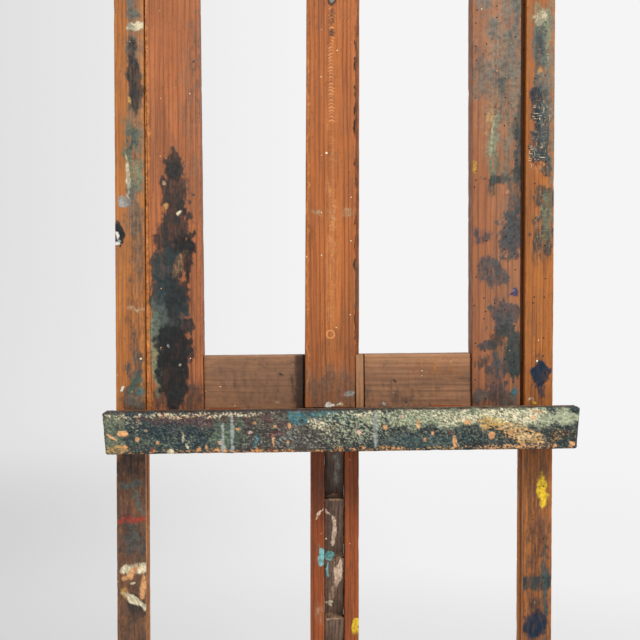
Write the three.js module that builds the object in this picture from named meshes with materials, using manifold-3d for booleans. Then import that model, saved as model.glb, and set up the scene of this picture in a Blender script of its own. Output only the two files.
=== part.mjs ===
// A floor-standing wooden studio easel. Two grooved stiles on runner feet carry an inner frame, which
// slides up and down in the grooves and stands by a pawl on the toothed rack between the post's cheeks.
// The inner frame holds the tray for the canvas, and a mast with the upper clamp slides through it.
// Millimetres: X runs across the easel, -Y is the painter's side, +Z is up, and Z = 0 is the floor.
import * as THREE from "three";
import { mergeVertices } from "three/addons/utils/BufferGeometryUtils.js";
import Module from "manifold-3d";

const wasm = await Module();
wasm.setup();

// Driving dimensions.
const GAP = 0.3; // kept between pieces that touch
const ROUND = 20; // sides of a turned piece
const THROUGH = 90; // reach each way of a hole that goes right through its piece
const PAST = 1; // how far a cutting tool runs past the face it enters by

const PAD = { height: 12, length: 58, margin: 2, setBack: 4 };
const FOOT = { inner: 200, outer: 250, halfLength: 300, height: 74, flat: 130, arch: 12 };
const NOSE = { height: 40, length: 22, round: 14 };
const STILE = { inner: 208.5, outer: 240.5, front: -18, back: 18, top: 1660 };
const GROOVE = { halfWidth: 6, depth: 14, bottom: 104 };
const STILE_TENON = { halfWidth: 8, halfDepth: 12, bottom: 36 };

const BOTTOM_RAIL = { bottom: 130, top: 210, front: -11, back: 11.7 };
const RAIL_TONGUE = { reach: 218.5, half: 5, bottom: 138, top: 202 };
const STRETCHER = { bottom: 30, top: 66, front: 150, back: 172 };
const STRETCHER_TENON = { length: 10, front: 155, back: 167, bottom: 36, top: 60 };
const HEAD_RAIL = { bottom: 1570, top: 1640, front: 40.3, back: 62 };
const BRACE = { inner: 222, outer: 240, halfWidth: 18, footY: 215, stileZ: 600, bottom: 30 };
const BRACE_SCREW = { radius: 3, head: 6, headHeight: 3, length: 40, seatY: 38, sink: 7, z: 580 };
const PEG = { radius: 5, half: 24, z: 56 };
const FOOT_BOLT = { radius: 5, head: 10, headHeight: 5, length: 64, z: 52 };
const HEAD_BOLT = { radius: 4, head: 9, headHeight: 4, spare: 12, x: 230 };

const POST = { front: 12, back: 40, left: -27, right: 27.8, cheekLeft: -11.2, cheekRight: 11.4 };
const RACK = { top: 1070, pitch: 68, firstLedge: 416, ledges: 10, nose: 14, root: 26, noseHeight: 3 };
const RACK_FOOT = 18; // how far back the plain face below the first ledge lies
const SPACER_BOTTOM = 1540;
const DOWEL = { radius: 4, half: 27, lower: 330, upper: 1556, setBack: 4 };
const POST_BOLT = { radius: 4, head: 9, headHeight: 4, short: 6 };

// The inner frame stands a little askew in the grooves, turned about a point at the crossbar's height.
const ASKEW = { angle: 0.009, pivotZ: 855 };
const CARRIAGE = { bottom: 758, knee: 1244, top: 1440 };
const BOARD = { front: -14, back: 14, tongueHalf: 5, tongueLeft: -215.8, tongueRight: 218 };
const BOARD_LEFT = { inner: [-145.5, -145.5, -145.5], shoulder: [-202.1, -204.4, -202.6] };
const BOARD_RIGHT = { inner: [150.6, 153.1, 154.1], shoulder: [204, 207.2, 208.5] };
const CROSSBAR = { bottom: 760, top: 853, front: -10, back: 11.7, left: -145.2, right: 150.2 };
const TOP_RAIL = { bottom: 1365, top: 1438, left: -145.2, right: 153.3 };
const TENON = { half: 4, length: 20, inset: 12 };
const HOUSING = { left: -36, right: 31, bottom: 794, depth: 16.3 };
const KEEPER = { left: 22, step: 26.5, right: 30.6, front: -15.5, lip: -10.4, back: 5.9 };

const TRAY = { left: -247, right: 255, top: 798, bottom: 753.4, front: -63, back: -20, drawIn: 3, corner: 4 };
const CHANNEL = { front: -43, back: -22, floor: 790, rear: 794 };
const BEARER = { inner: 105, outer: 140, top: 796, bottom: 762 };
const TRAY_BOLT = { radius: 3, head: 7, headHeight: 3, z: 779, reach: 46 };

const MAST = { left: -34, right: 26, front: -16, back: 6, bottom: 795, top: 1890 };
const MAST_TAPER = { in: 2.5, top: 1300 };
const REBATE = { width: 4.5, depth: 6 };
const BRIDGE = { bottom: 1372, top: 1432, front: -34, margin: 34, play: 1.6 };
const BRIDGE_SCREW = { radius: 3, head: 7, headHeight: 3, length: 34 };
const MAST_LOCK_RADIUS = 5;
const SCREW_X = -4; // the line that both clamping screws press on

const CLAMP = { bottom: 1650, top: 1730, front: -34, wall: 15, play: 0.8 };
const BEAK = { front: -52, top: 1668, slopeTop: 1684 };
const STRAP = { thickness: 4, bottom: 1662, top: 1718 };
const STRAP_SCREW = { radius: 2.5, head: 5, headHeight: 2, sink: 2.4, length: 22 };
const CLAMP_LOCK = { radius: 4, z: 1708 };

const PAWL = { left: -3.5, right: 8.7, pivotY: 3, pivotZ: 784, boss: 7 };
const TOE = { back: 22, gap: 0.4, ledge: 5 }; // it stands on the rack's ledge of this number, from 0 up
const NOTCH = { left: -9.5, right: 9.7, top: 793.5 };
const PIN = { radius: 3, half: 28, spare: 2 };
const SPRING = { radius: 4.5, turns: 3, perTurn: 8, start: -8.4, pitch: 1.25, wire: 0.5 };

// Places that follow from the dimensions.
const FOOT_X = (FOOT.inner + FOOT.outer) / 2;
const STILE_X = (STILE.inner + STILE.outer) / 2;
const BRACE_X = (BRACE.inner + BRACE.outer) / 2;
const FOOT_BOLT_Y = BRACE.footY
  + ((FOOT.height - FOOT_BOLT.z) * (BRACE.footY - STILE.back)) / (BRACE.stileZ - FOOT.height);
const HEAD_BOLT_Z = (HEAD_RAIL.bottom + HEAD_RAIL.top) / 2;
const LOWER_BOLT_Z = (BOTTOM_RAIL.bottom + BOTTOM_RAIL.top) / 2;
const POST_X = (POST.cheekLeft + POST.cheekRight) / 2;
const DOWEL_Y = (POST.front + POST.back) / 2 + DOWEL.setBack;
const BRIDGE_Z = (BRIDGE.bottom + BRIDGE.top) / 2;
const STRAP_Z = (STRAP.bottom + STRAP.top) / 2;

// The finishes.
const WOOD = {
  pine: [0xb06c40, 0.6],
  pineDark: [0x8c5438, 0.65],
  oak: [0x8c4828, 0.6],
  rack: [0x3e2e24, 0.7],
  paint: [0x4a5a58, 0.55],
};
const STEEL = [0x77736c, 0.45, 0.9];
const BRASS = [0xa88a4c, 0.4, 0.9];
const RUBBER = [0x1d1c1a, 0.9];

// Plain shapes.
function block(x, y, z) {
  const geometry = new THREE.BoxGeometry(x[1] - x[0], y[1] - y[0], z[1] - z[0]);
  return geometry.translate((x[0] + x[1]) / 2, (y[0] + y[1]) / 2, (z[0] + z[1]) / 2);
}

function shapeOf(points) {
  return new THREE.Shape(points.map(([u, v]) => new THREE.Vector2(u, v)));
}

function extrude(shape, length) {
  return new THREE.ExtrudeGeometry(shape, { depth: length, bevelEnabled: false, curveSegments: 8 });
}

// Takes a shape's own axes and its direction of extrusion to three axes of the easel.
function turned(geometry, u, v, w) {
  return geometry.applyMatrix4(new THREE.Matrix4().makeBasis(u, v, w));
}

const X = new THREE.Vector3(1, 0, 0);
const Y = new THREE.Vector3(0, 1, 0);
const Z = new THREE.Vector3(0, 0, 1);
const FORWARD = new THREE.Vector3(0, -1, 0);

// Each prism's outline lies across its axis: (y, z) along X, (x, z) along Y and (x, y) along Z.
function prismX(shape, from, to) {
  return turned(extrude(shape, to - from), Y, Z, X).translate(from, 0, 0);
}

function prismY(shape, from, to) {
  return turned(extrude(shape, to - from), X, Z, FORWARD).translate(0, to, 0);
}

function prismZ(shape, from, to) {
  return extrude(shape, to - from).translate(0, 0, from);
}

// A piece turned on a lathe, from [radius, height] pairs that start and end on the axis, along Z.
function turnedPiece(profile, sides = ROUND) {
  const points = profile.map(([radius, height]) => new THREE.Vector2(radius, height));
  return turned(new THREE.LatheGeometry(points, sides), Y, Z, X);
}

function rod(radius, from, to, sides = ROUND) {
  return turnedPiece([[0, from], [radius, from], [radius, to], [0, to]], sides);
}

// Points a piece that was made along Z towards another direction, and moves its origin to a place.
function aimed(geometry, direction, x, y, z) {
  const turn = new THREE.Quaternion().setFromUnitVectors(Z, direction);
  return geometry.applyQuaternion(turn).translate(x, y, z);
}

// Joining and cutting.
function solidOf(geometry) {
  const bare = geometry.clone();
  bare.deleteAttribute("normal");
  bare.deleteAttribute("uv");
  const merged = mergeVertices(bare, 1e-4);
  const mesh = new wasm.Mesh({
    numProp: 3,
    vertProperties: merged.attributes.position.array,
    triVerts: new Uint32Array(merged.index.array),
  });
  return new wasm.Manifold(mesh);
}

function geometryOf(solid) {
  const mesh = solid.getMesh();
  const geometry = new THREE.BufferGeometry();
  geometry.setAttribute("position", new THREE.BufferAttribute(mesh.vertProperties, 3));
  geometry.setIndex(new THREE.BufferAttribute(mesh.triVerts, 1));
  geometry.computeVertexNormals();
  return geometry;
}

function joined(first, ...others) {
  return geometryOf(others.reduce((sum, other) => sum.add(solidOf(other)), solidOf(first)));
}

function cut(first, ...tools) {
  return geometryOf(tools.reduce((rest, tool) => rest.subtract(solidOf(tool)), solidOf(first)));
}

function add(group, name, geometry, [color, roughness, metalness = 0]) {
  const material = new THREE.MeshStandardMaterial({ color, roughness, metalness });
  const mesh = new THREE.Mesh(geometry, material);
  mesh.name = name;
  group.add(mesh);
}

// Fasteners, each made along Z with its bearing face at height 0 and its head above it.
function bolt({ radius, head, headHeight }, length) {
  return turnedPiece([
    [0, -length],
    [radius, -length],
    [radius, 0],
    [head, 0],
    [head * 0.8, headHeight * 0.7],
    [0, headHeight],
  ], 16);
}

function bore(radius, from = -THROUGH, to = THROUGH) {
  return rod(radius + GAP, from, to, 16);
}

// The two ears of a wing nut or a wing screw, as one outline that crosses the boss.
function wings(reach, base, tip, thickness) {
  const outline = new THREE.Shape();
  outline.moveTo(0, 0);
  outline.lineTo(reach * 0.45, base);
  outline.quadraticCurveTo(reach * 1.15, tip * 0.45, reach, tip);
  outline.quadraticCurveTo(reach * 0.6, tip, reach * 0.35, tip * 0.45);
  outline.lineTo(-reach * 0.35, tip * 0.45);
  outline.quadraticCurveTo(-reach * 0.6, tip, -reach, tip);
  outline.quadraticCurveTo(-reach * 1.15, tip * 0.45, -reach * 0.45, base);
  outline.closePath();
  return prismY(outline, -thickness / 2, thickness / 2);
}

function wingNut(boltRadius) {
  const boss = turnedPiece([[0, 0], [10, 0], [9, 9], [0, 9]], 16);
  return cut(joined(boss, wings(21, 1, 17, 3.4)), bore(boltRadius));
}

function wingScrew(shaftRadius, length) {
  const boss = turnedPiece([
    [0, -length],
    [shaftRadius, -length],
    [shaftRadius, 0],
    [10, 0],
    [8.5, 11],
    [0, 12],
  ], 16);
  return joined(boss, wings(25, 1, 24, 4));
}

// The stand. Left-hand pieces are drawn at -X, and a side of +1 or -1 places each of a pair.
function span(side, near, far) {
  return side > 0 ? [near, far] : [-far, -near];
}

function footOutline() {
  const { halfLength, height, flat, arch } = FOOT;
  const bottom = PAD.height + GAP;
  const archEnd = halfLength - PAD.length - NOSE.round;
  const outline = new THREE.Shape();
  outline.moveTo(-halfLength, bottom);
  outline.lineTo(-archEnd, bottom);
  outline.quadraticCurveTo(0, bottom + 2 * arch, archEnd, bottom);
  outline.lineTo(halfLength, bottom);
  outline.lineTo(halfLength, NOSE.height - NOSE.round);
  outline.quadraticCurveTo(halfLength, NOSE.height, halfLength - NOSE.length, NOSE.height);
  outline.lineTo(flat, height);
  outline.lineTo(-flat, height);
  outline.lineTo(-halfLength + NOSE.length, NOSE.height);
  outline.quadraticCurveTo(-halfLength, NOSE.height, -halfLength, NOSE.height - NOSE.round);
  outline.closePath();
  return outline;
}

// The brace is a straight bar from the rear of the foot to the back of the stile, cut to meet both.
function braceOutline(grow) {
  const run = new THREE.Vector2(STILE.back - BRACE.footY, BRACE.stileZ - FOOT.height).normalize();
  const half = BRACE.halfWidth + grow;
  const across = new THREE.Vector2(run.y, -run.x);
  const edge = (offset) => {
    const start = new THREE.Vector2(BRACE.footY, FOOT.height).addScaledVector(across, offset);
    const atHeight = (z) => [start.x + ((z - start.y) * run.x) / run.y, z];
    const atDepth = (y) => [y, start.y + ((y - start.x) * run.y) / run.x];
    return [atHeight(BRACE.bottom - grow), atDepth(STILE.back + GAP)];
  };
  const [frontFoot, frontTop] = edge(-half);
  const [backFoot, backTop] = edge(half);
  return shapeOf([frontFoot, backFoot, backTop, frontTop]);
}

function stileTenon(side, grow) {
  const half = STILE_TENON.halfWidth + grow;
  const deep = STILE_TENON.halfDepth + grow;
  return block(
    span(side, STILE_X - half, STILE_X + half),
    [-deep, deep],
    [STILE_TENON.bottom - grow, FOOT.height + PAST],
  );
}

function footBoltHole(outward, side) {
  return aimed(bore(FOOT_BOLT.radius), outward, side * FOOT_X, FOOT_BOLT_Y, FOOT_BOLT.z);
}

function pegHole(outward, side) {
  return aimed(bore(PEG.radius), outward, side * FOOT_X, 0, PEG.z);
}

function headBoltHole(side) {
  return aimed(bore(HEAD_BOLT.radius), Y, side * HEAD_BOLT.x, 0, HEAD_BOLT_Z);
}

// It stops short of the stile's front.
function braceScrewHole(side) {
  const { radius, seatY, z } = BRACE_SCREW;
  return aimed(bore(radius, -seatY - radius, THROUGH), Y, side * BRACE_X, seatY, z);
}

function addFoot(stand, hand, side, outward) {
  for (const [end, y] of [["front", -1], ["rear", 1]]) {
    const width = span(side, FOOT.inner + PAD.margin, FOOT.outer - PAD.margin);
    const length = span(y, FOOT.halfLength - PAD.length, FOOT.halfLength - PAD.setBack);
    const pad = block(width, length, [0, PAD.height]);
    add(stand, `foot_pad_${end}_${hand}`, pad, RUBBER);
  }

  const foot = cut(
    prismX(footOutline(), ...span(side, FOOT.inner, FOOT.outer)),
    stileTenon(side, GAP),
    prismX(braceOutline(GAP), ...span(side, BRACE.inner - GAP, BRACE.outer + GAP)),
    stretcherTenon(side, GAP),
    footBoltHole(outward, side),
    pegHole(outward, side),
  );
  add(stand, `foot_${hand}`, foot, WOOD.pineDark);

  const inward = outward.clone().negate();
  const footBolt = bolt(FOOT_BOLT, FOOT_BOLT.length);
  const inside = side * (FOOT.inner - GAP);
  add(stand, `foot_bolt_${hand}`, aimed(footBolt, inward, inside, FOOT_BOLT_Y, FOOT_BOLT.z), STEEL);
  const outside = side * (FOOT.outer + GAP);
  const footNut = aimed(wingNut(FOOT_BOLT.radius), outward, outside, FOOT_BOLT_Y, FOOT_BOLT.z);
  add(stand, `foot_wing_nut_${hand}`, footNut, STEEL);
}

function addStile(stand, hand, side, outward) {
  const bar = block(
    span(side, STILE.inner, STILE.outer),
    [STILE.front, STILE.back],
    [FOOT.height + GAP, STILE.top],
  );
  const groove = block(
    span(side, STILE.inner - PAST, STILE.inner + GROOVE.depth),
    [-GROOVE.halfWidth, GROOVE.halfWidth],
    [GROOVE.bottom, STILE.top + PAST],
  );
  const holes = [pegHole(outward, side), headBoltHole(side), braceScrewHole(side)];
  add(stand, `stile_${hand}`, cut(joined(bar, stileTenon(side, 0)), groove, ...holes), WOOD.pine);

  const peg = aimed(rod(PEG.radius, -PEG.half, PEG.half, 16), outward, side * FOOT_X, 0, PEG.z);
  add(stand, `stile_peg_${hand}`, peg, WOOD.oak);

  const headBolt = bolt(HEAD_BOLT, HEAD_RAIL.back - STILE.front + HEAD_BOLT.spare);
  const headFace = STILE.front - GAP;
  const placedBolt = aimed(headBolt, FORWARD, side * HEAD_BOLT.x, headFace, HEAD_BOLT_Z);
  add(stand, `head_bolt_${hand}`, placedBolt, STEEL);
  const nutFace = HEAD_RAIL.back + GAP;
  const headNut = aimed(wingNut(HEAD_BOLT.radius), Y, side * HEAD_BOLT.x, nutFace, HEAD_BOLT_Z);
  add(stand, `head_wing_nut_${hand}`, headNut, STEEL);
}

function addBrace(stand, hand, side, outward) {
  const { length, seatY, sink, z } = BRACE_SCREW;
  const brace = cut(
    prismX(braceOutline(0), ...span(side, BRACE.inner, BRACE.outer)),
    footBoltHole(outward, side),
    braceScrewHole(side),
    aimed(rod(sink, 0, THROUGH, 16), Y, side * BRACE_X, seatY - GAP, z),
  );
  add(stand, `brace_${hand}`, brace, WOOD.pineDark);
  const screw = aimed(bolt(BRACE_SCREW, length), Y, side * BRACE_X, seatY, z);
  add(stand, `brace_screw_${hand}`, screw, STEEL);
}

function addSide(stand, side) {
  const hand = side > 0 ? "right" : "left";
  const outward = side > 0 ? X : X.clone().negate();
  addFoot(stand, hand, side, outward);
  addStile(stand, hand, side, outward);
  addBrace(stand, hand, side, outward);
}

function stretcherTenon(side, grow) {
  const { length, front, back, bottom, top } = STRETCHER_TENON;
  return block(
    span(side, FOOT.inner - PAST, FOOT.inner + length + grow),
    [front - grow, back + grow],
    [bottom - grow, top + grow],
  );
}

function addStretcher(stand) {
  const reach = FOOT.inner - GAP;
  const bar = block(
    [-reach, reach],
    [STRETCHER.front, STRETCHER.back],
    [STRETCHER.bottom, STRETCHER.top],
  );
  const stretcher = joined(bar, stretcherTenon(1, 0), stretcherTenon(-1, 0));
  add(stand, "rear_stretcher", stretcher, WOOD.pineDark);
}

function postHole(z) {
  return aimed(bore(POST_BOLT.radius), Y, POST_X, 0, z);
}

function addBottomRail(stand) {
  const reach = STILE.inner - GAP;
  const bar = block(
    [-reach, reach],
    [BOTTOM_RAIL.front, BOTTOM_RAIL.back],
    [BOTTOM_RAIL.bottom, BOTTOM_RAIL.top],
  );
  const tongues = block(
    [-RAIL_TONGUE.reach, RAIL_TONGUE.reach],
    [-RAIL_TONGUE.half, RAIL_TONGUE.half],
    [RAIL_TONGUE.bottom, RAIL_TONGUE.top],
  );
  add(stand, "bottom_rail", cut(joined(bar, tongues), postHole(LOWER_BOLT_Z)), WOOD.pineDark);
}

function addHeadRail(stand) {
  const height = [HEAD_RAIL.bottom, HEAD_RAIL.top];
  const bar = block([-STILE.outer, STILE.outer], [HEAD_RAIL.front, HEAD_RAIL.back], height);
  const ends = [1, -1].map((side) =>
    block(span(side, STILE.inner, STILE.outer), [STILE.back + GAP, HEAD_RAIL.front + PAST], height));
  const holes = [headBoltHole(1), headBoltHole(-1), postHole(HEAD_BOLT_Z)];
  add(stand, "head_rail", cut(joined(bar, ...ends), ...holes), WOOD.pineDark);
}

function rackOutline() {
  const back = POST.back - GAP;
  const points = [[back, BOTTOM_RAIL.bottom], [RACK_FOOT, BOTTOM_RAIL.bottom]];
  points.push([RACK_FOOT, RACK.firstLedge - RACK.pitch / 2]);
  for (let tooth = 0; tooth < RACK.ledges; tooth += 1) {
    const ledge = RACK.firstLedge + tooth * RACK.pitch;
    points.push([RACK.nose, ledge - RACK.noseHeight], [RACK.nose, ledge], [RACK.root, ledge]);
  }
  points.push([RACK.root, RACK.top], [back, RACK.top]);
  return shapeOf(points);
}

function dowelHole(z) {
  return aimed(bore(DOWEL.radius), X, POST_X, DOWEL_Y, z);
}

function addPost(stand) {
  const height = [BOTTOM_RAIL.bottom, HEAD_RAIL.top];
  const depth = [POST.front, POST.back];
  const dowelHoles = [dowelHole(DOWEL.lower), dowelHole(DOWEL.upper)];
  const leftCheek = cut(block([POST.left, POST.cheekLeft], depth, height), ...dowelHoles);
  add(stand, "rack_cheek_left", leftCheek, WOOD.oak);
  const rightCheek = cut(block([POST.cheekRight, POST.right], depth, height), ...dowelHoles);
  add(stand, "rack_cheek_right", rightCheek, WOOD.oak);

  const inside = [POST.cheekLeft + GAP, POST.cheekRight - GAP];
  const rack = cut(prismX(rackOutline(), ...inside), postHole(LOWER_BOLT_Z), dowelHole(DOWEL.lower));
  add(stand, "rack", rack, WOOD.rack);
  const spacer = block(inside, depth, [SPACER_BOTTOM, HEAD_RAIL.top]);
  const drilled = cut(spacer, postHole(HEAD_BOLT_Z), dowelHole(DOWEL.upper));
  add(stand, "post_spacer", drilled, WOOD.oak);

  for (const [place, z] of [["lower", DOWEL.lower], ["upper", DOWEL.upper]]) {
    const dowel = aimed(rod(DOWEL.radius, -DOWEL.half, DOWEL.half, 16), X, POST_X, DOWEL_Y, z);
    add(stand, `post_dowel_${place}`, dowel, WOOD.oak);
  }
  const lowerBolt = bolt(POST_BOLT, POST.back - BOTTOM_RAIL.front - POST_BOLT.short);
  const lower = aimed(lowerBolt, FORWARD, POST_X, BOTTOM_RAIL.front - GAP, LOWER_BOLT_Z);
  add(stand, "post_bolt_lower", lower, STEEL);
  const upperBolt = bolt(POST_BOLT, HEAD_RAIL.back - POST.front - POST_BOLT.short);
  const upper = aimed(upperBolt, Y, POST_X, HEAD_RAIL.back + GAP, HEAD_BOLT_Z);
  add(stand, "post_bolt_upper", upper, STEEL);
}

// The carriage: the inner frame, its tray and its guides for the mast.
function boardOutline(inner, outer) {
  const heights = [CARRIAGE.bottom, CARRIAGE.knee, CARRIAGE.top];
  const up = heights.map((z, i) => [inner[i], z]);
  const down = heights.map((z, i) => [outer[i], z]).reverse();
  return shapeOf([...up, ...down]);
}

function railTenons({ bottom, top, left, right }, grow) {
  const height = [bottom + TENON.inset - grow, top - TENON.inset + grow];
  const depth = [-TENON.half - grow, TENON.half + grow];
  return [
    block([left - TENON.length - grow, left + 2], depth, height),
    block([right - 2, right + TENON.length + grow], depth, height),
  ];
}

function addBoards(carriage) {
  const mortises = [CROSSBAR, TOP_RAIL].flatMap((rail) => railTenons(rail, GAP));
  for (const [hand, board, tip] of [
    ["left", BOARD_LEFT, BOARD.tongueLeft],
    ["right", BOARD_RIGHT, BOARD.tongueRight],
  ]) {
    const body = prismY(boardOutline(board.inner, board.shoulder), BOARD.front, BOARD.back);
    const tips = board.shoulder.map(() => tip);
    const middle = board.inner.map((x, i) => (x + board.shoulder[i]) / 2);
    const tongue = prismY(boardOutline(middle, tips), -BOARD.tongueHalf, BOARD.tongueHalf);
    add(carriage, `board_${hand}`, cut(joined(body, tongue), ...mortises), WOOD.pine);
  }
}

function boltPlaces() {
  const middle = (BEARER.inner + BEARER.outer) / 2;
  return [["left", -middle], ["right", middle]];
}

function trayBoltHole(x) {
  return aimed(bore(TRAY_BOLT.radius, -TRAY_BOLT.reach - GAP), Y, x, CROSSBAR.back, TRAY_BOLT.z);
}

function pinHole() {
  const reach = PIN.half + PIN.spare;
  return aimed(bore(PIN.radius, -reach, reach), X, 0, PAWL.pivotY, PAWL.pivotZ);
}

function addCrossbar(carriage) {
  const bar = block(
    [CROSSBAR.left, CROSSBAR.right],
    [CROSSBAR.front, CROSSBAR.back],
    [CROSSBAR.bottom, CROSSBAR.top],
  );
  const housing = block(
    [HOUSING.left, HOUSING.right],
    [CROSSBAR.front - PAST, CROSSBAR.front + HOUSING.depth],
    [HOUSING.bottom, CROSSBAR.top + PAST],
  );
  const notch = block(
    [NOTCH.left, NOTCH.right],
    [CROSSBAR.front - PAST, CROSSBAR.back + PAST],
    [CROSSBAR.bottom - PAST, NOTCH.top],
  );
  const boltHoles = boltPlaces().map(([, x]) => trayBoltHole(x));
  const tenons = railTenons(CROSSBAR, 0);
  const crossbar = cut(joined(bar, ...tenons), housing, notch, pinHole(), ...boltHoles);
  add(carriage, "crossbar", crossbar, WOOD.pineDark);

  const keeper = shapeOf([
    [KEEPER.left, KEEPER.front],
    [KEEPER.right, KEEPER.front],
    [KEEPER.right, KEEPER.back],
    [KEEPER.step, KEEPER.back],
    [KEEPER.step, KEEPER.lip],
    [KEEPER.left, KEEPER.lip],
  ]);
  add(carriage, "keeper_strip", prismZ(keeper, HOUSING.bottom + GAP, CROSSBAR.top), WOOD.pine);
}

// How far the askew frame leans at a height, so that a piece in it meets the upright mast.
function lean(z) {
  return ASKEW.angle * (z - ASKEW.pivotZ);
}

function bridgeSpan() {
  const shift = lean(BRIDGE_Z);
  return [MAST.left + shift - BRIDGE.margin, MAST.right + shift + BRIDGE.margin];
}

function bridgeScrewPlaces() {
  const [left, right] = bridgeSpan();
  return [["left", left + BRIDGE.margin / 2], ["right", right - BRIDGE.margin / 2]];
}

function bridgeScrewHole(x) {
  const hole = bore(BRIDGE_SCREW.radius, -BRIDGE_SCREW.length - GAP);
  return aimed(hole, FORWARD, x, BRIDGE.front, BRIDGE_Z);
}

function mastPassage(back) {
  const shift = lean(BRIDGE_Z);
  return block(
    [MAST.left + shift - BRIDGE.play, MAST.right + shift + BRIDGE.play],
    [MAST.front - GAP * 2, back],
    [TOP_RAIL.bottom - PAST, TOP_RAIL.top + PAST],
  );
}

function addTopRail(carriage) {
  const bar = block(
    [TOP_RAIL.left, TOP_RAIL.right],
    [CROSSBAR.front, CROSSBAR.back],
    [TOP_RAIL.bottom, TOP_RAIL.top],
  );
  const tenons = railTenons(TOP_RAIL, 0);
  const holes = bridgeScrewPlaces().map(([, x]) => bridgeScrewHole(x));
  const rail = cut(joined(bar, ...tenons), mastPassage(MAST.back + GAP), ...holes);
  add(carriage, "top_rail", rail, WOOD.pineDark);

  const [left, right] = bridgeSpan();
  const bridge = block(
    [left, right],
    [BRIDGE.front, CROSSBAR.front - GAP],
    [BRIDGE.bottom, BRIDGE.top],
  );
  const screwX = SCREW_X + lean(BRIDGE_Z);
  const screwHole = aimed(bore(MAST_LOCK_RADIUS), Y, screwX, BRIDGE.front, BRIDGE_Z);
  add(carriage, "mast_bridge", cut(bridge, mastPassage(0), screwHole, ...holes), WOOD.oak);
  for (const [hand, x] of bridgeScrewPlaces()) {
    const screw = bolt(BRIDGE_SCREW, BRIDGE_SCREW.length);
    const placed = aimed(screw, FORWARD, x, BRIDGE.front - GAP, BRIDGE_Z);
    add(carriage, `bridge_screw_${hand}`, placed, BRASS);
  }
}

function trayOutline() {
  const { left, right, top, bottom, drawIn, corner } = TRAY;
  const outline = new THREE.Shape();
  outline.moveTo(left + drawIn, bottom);
  outline.lineTo(right - drawIn, bottom);
  outline.lineTo(right, top - corner);
  outline.quadraticCurveTo(right, top, right - corner, top);
  outline.lineTo(left + corner, top);
  outline.quadraticCurveTo(left, top, left, top - corner);
  outline.closePath();
  return outline;
}

function addTray(carriage) {
  const channel = block(
    [TRAY.left - PAST, TRAY.right + PAST],
    [CHANNEL.front, CHANNEL.back],
    [CHANNEL.floor, TRAY.top + PAST],
  );
  const behind = block(
    [TRAY.left - PAST, TRAY.right + PAST],
    [CHANNEL.back - PAST, TRAY.back + PAST],
    [CHANNEL.rear, TRAY.top + PAST],
  );
  const holes = boltPlaces().map(([, x]) => trayBoltHole(x));
  const tray = cut(prismY(trayOutline(), TRAY.front, TRAY.back), channel, behind, ...holes);
  add(carriage, "tray", tray, WOOD.paint);

  for (const [hand, x] of boltPlaces()) {
    const half = (BEARER.outer - BEARER.inner) / 2;
    const bearer = block(
      [x - half, x + half],
      [TRAY.back + GAP, CROSSBAR.front - GAP],
      [BEARER.bottom, BEARER.top],
    );
    add(carriage, `tray_bearer_${hand}`, cut(bearer, trayBoltHole(x)), WOOD.oak);
    const trayBolt = aimed(bolt(TRAY_BOLT, TRAY_BOLT.reach), Y, x, CROSSBAR.back + GAP, TRAY_BOLT.z);
    add(carriage, `tray_bolt_${hand}`, trayBolt, STEEL);
  }
}

// The pawl hangs in the crossbar's notch. Its toe is round about its pin, so it swings off a ledge freely.
function pawlOutline() {
  const { pivotY, pivotZ, boss } = PAWL;
  const ledge = RACK.firstLedge + TOE.ledge * RACK.pitch;
  const toe = Math.hypot(RACK.nose - pivotY, pivotZ - ledge - TOE.gap);
  const backAngle = -Math.acos((TOE.back - pivotY) / toe);
  const frontAngle = -Math.PI * 0.44;
  const outline = new THREE.Shape();
  outline.absarc(pivotY, pivotZ, toe, frontAngle, backAngle, false);
  outline.lineTo(pivotY + boss + 4, pivotZ - 5);
  outline.absarc(pivotY, pivotZ, boss, 0, Math.PI * 0.95, false);
  outline.lineTo(pivotY - 15, pivotZ - 9);
  outline.lineTo(pivotY - 14, pivotZ - 18);
  outline.lineTo(pivotY - 9, pivotZ - 17);
  outline.lineTo(pivotY - 3, pivotZ - 8);
  outline.closePath();
  return outline;
}

// A helper spring round the pin, in the notch beside the pawl.
function pinSpring() {
  const { radius, perTurn } = SPRING;
  const points = Array.from({ length: SPRING.turns * perTurn + 1 }, (_, step) => {
    const angle = (step / perTurn) * Math.PI * 2;
    const along = SPRING.start + (step / perTurn) * SPRING.pitch;
    return new THREE.Vector3(along, Math.cos(angle) * radius, Math.sin(angle) * radius);
  });
  const wire = new THREE.Shape().absarc(0, 0, SPRING.wire, 0, Math.PI * 2);
  const spring = new THREE.ExtrudeGeometry(wire, {
    steps: SPRING.turns * 12,
    curveSegments: 6,
    extrudePath: new THREE.CatmullRomCurve3(points),
  });
  return spring.translate(0, PAWL.pivotY, PAWL.pivotZ);
}

function addPawl(carriage) {
  add(carriage, "pawl", cut(prismX(pawlOutline(), PAWL.left, PAWL.right), pinHole()), STEEL);
  const pin = aimed(rod(PIN.radius, -PIN.half, PIN.half, 16), X, 0, PAWL.pivotY, PAWL.pivotZ);
  add(carriage, "pawl_pin", pin, STEEL);
}

// The mast and what rides on it.
function addMast(easel) {
  const { left, right, front, back, bottom, top } = MAST;
  const outline = shapeOf([
    [left, bottom],
    [right, bottom],
    [right, top],
    [left + MAST_TAPER.in, top],
    [left + MAST_TAPER.in, MAST_TAPER.top],
  ]);
  const rebate = block(
    [right - REBATE.width, right + PAST],
    [front - PAST, front + REBATE.depth],
    [bottom - PAST, top + PAST],
  );
  add(easel, "mast", cut(prismY(outline, front, back), rebate), WOOD.pine);
}

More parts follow.
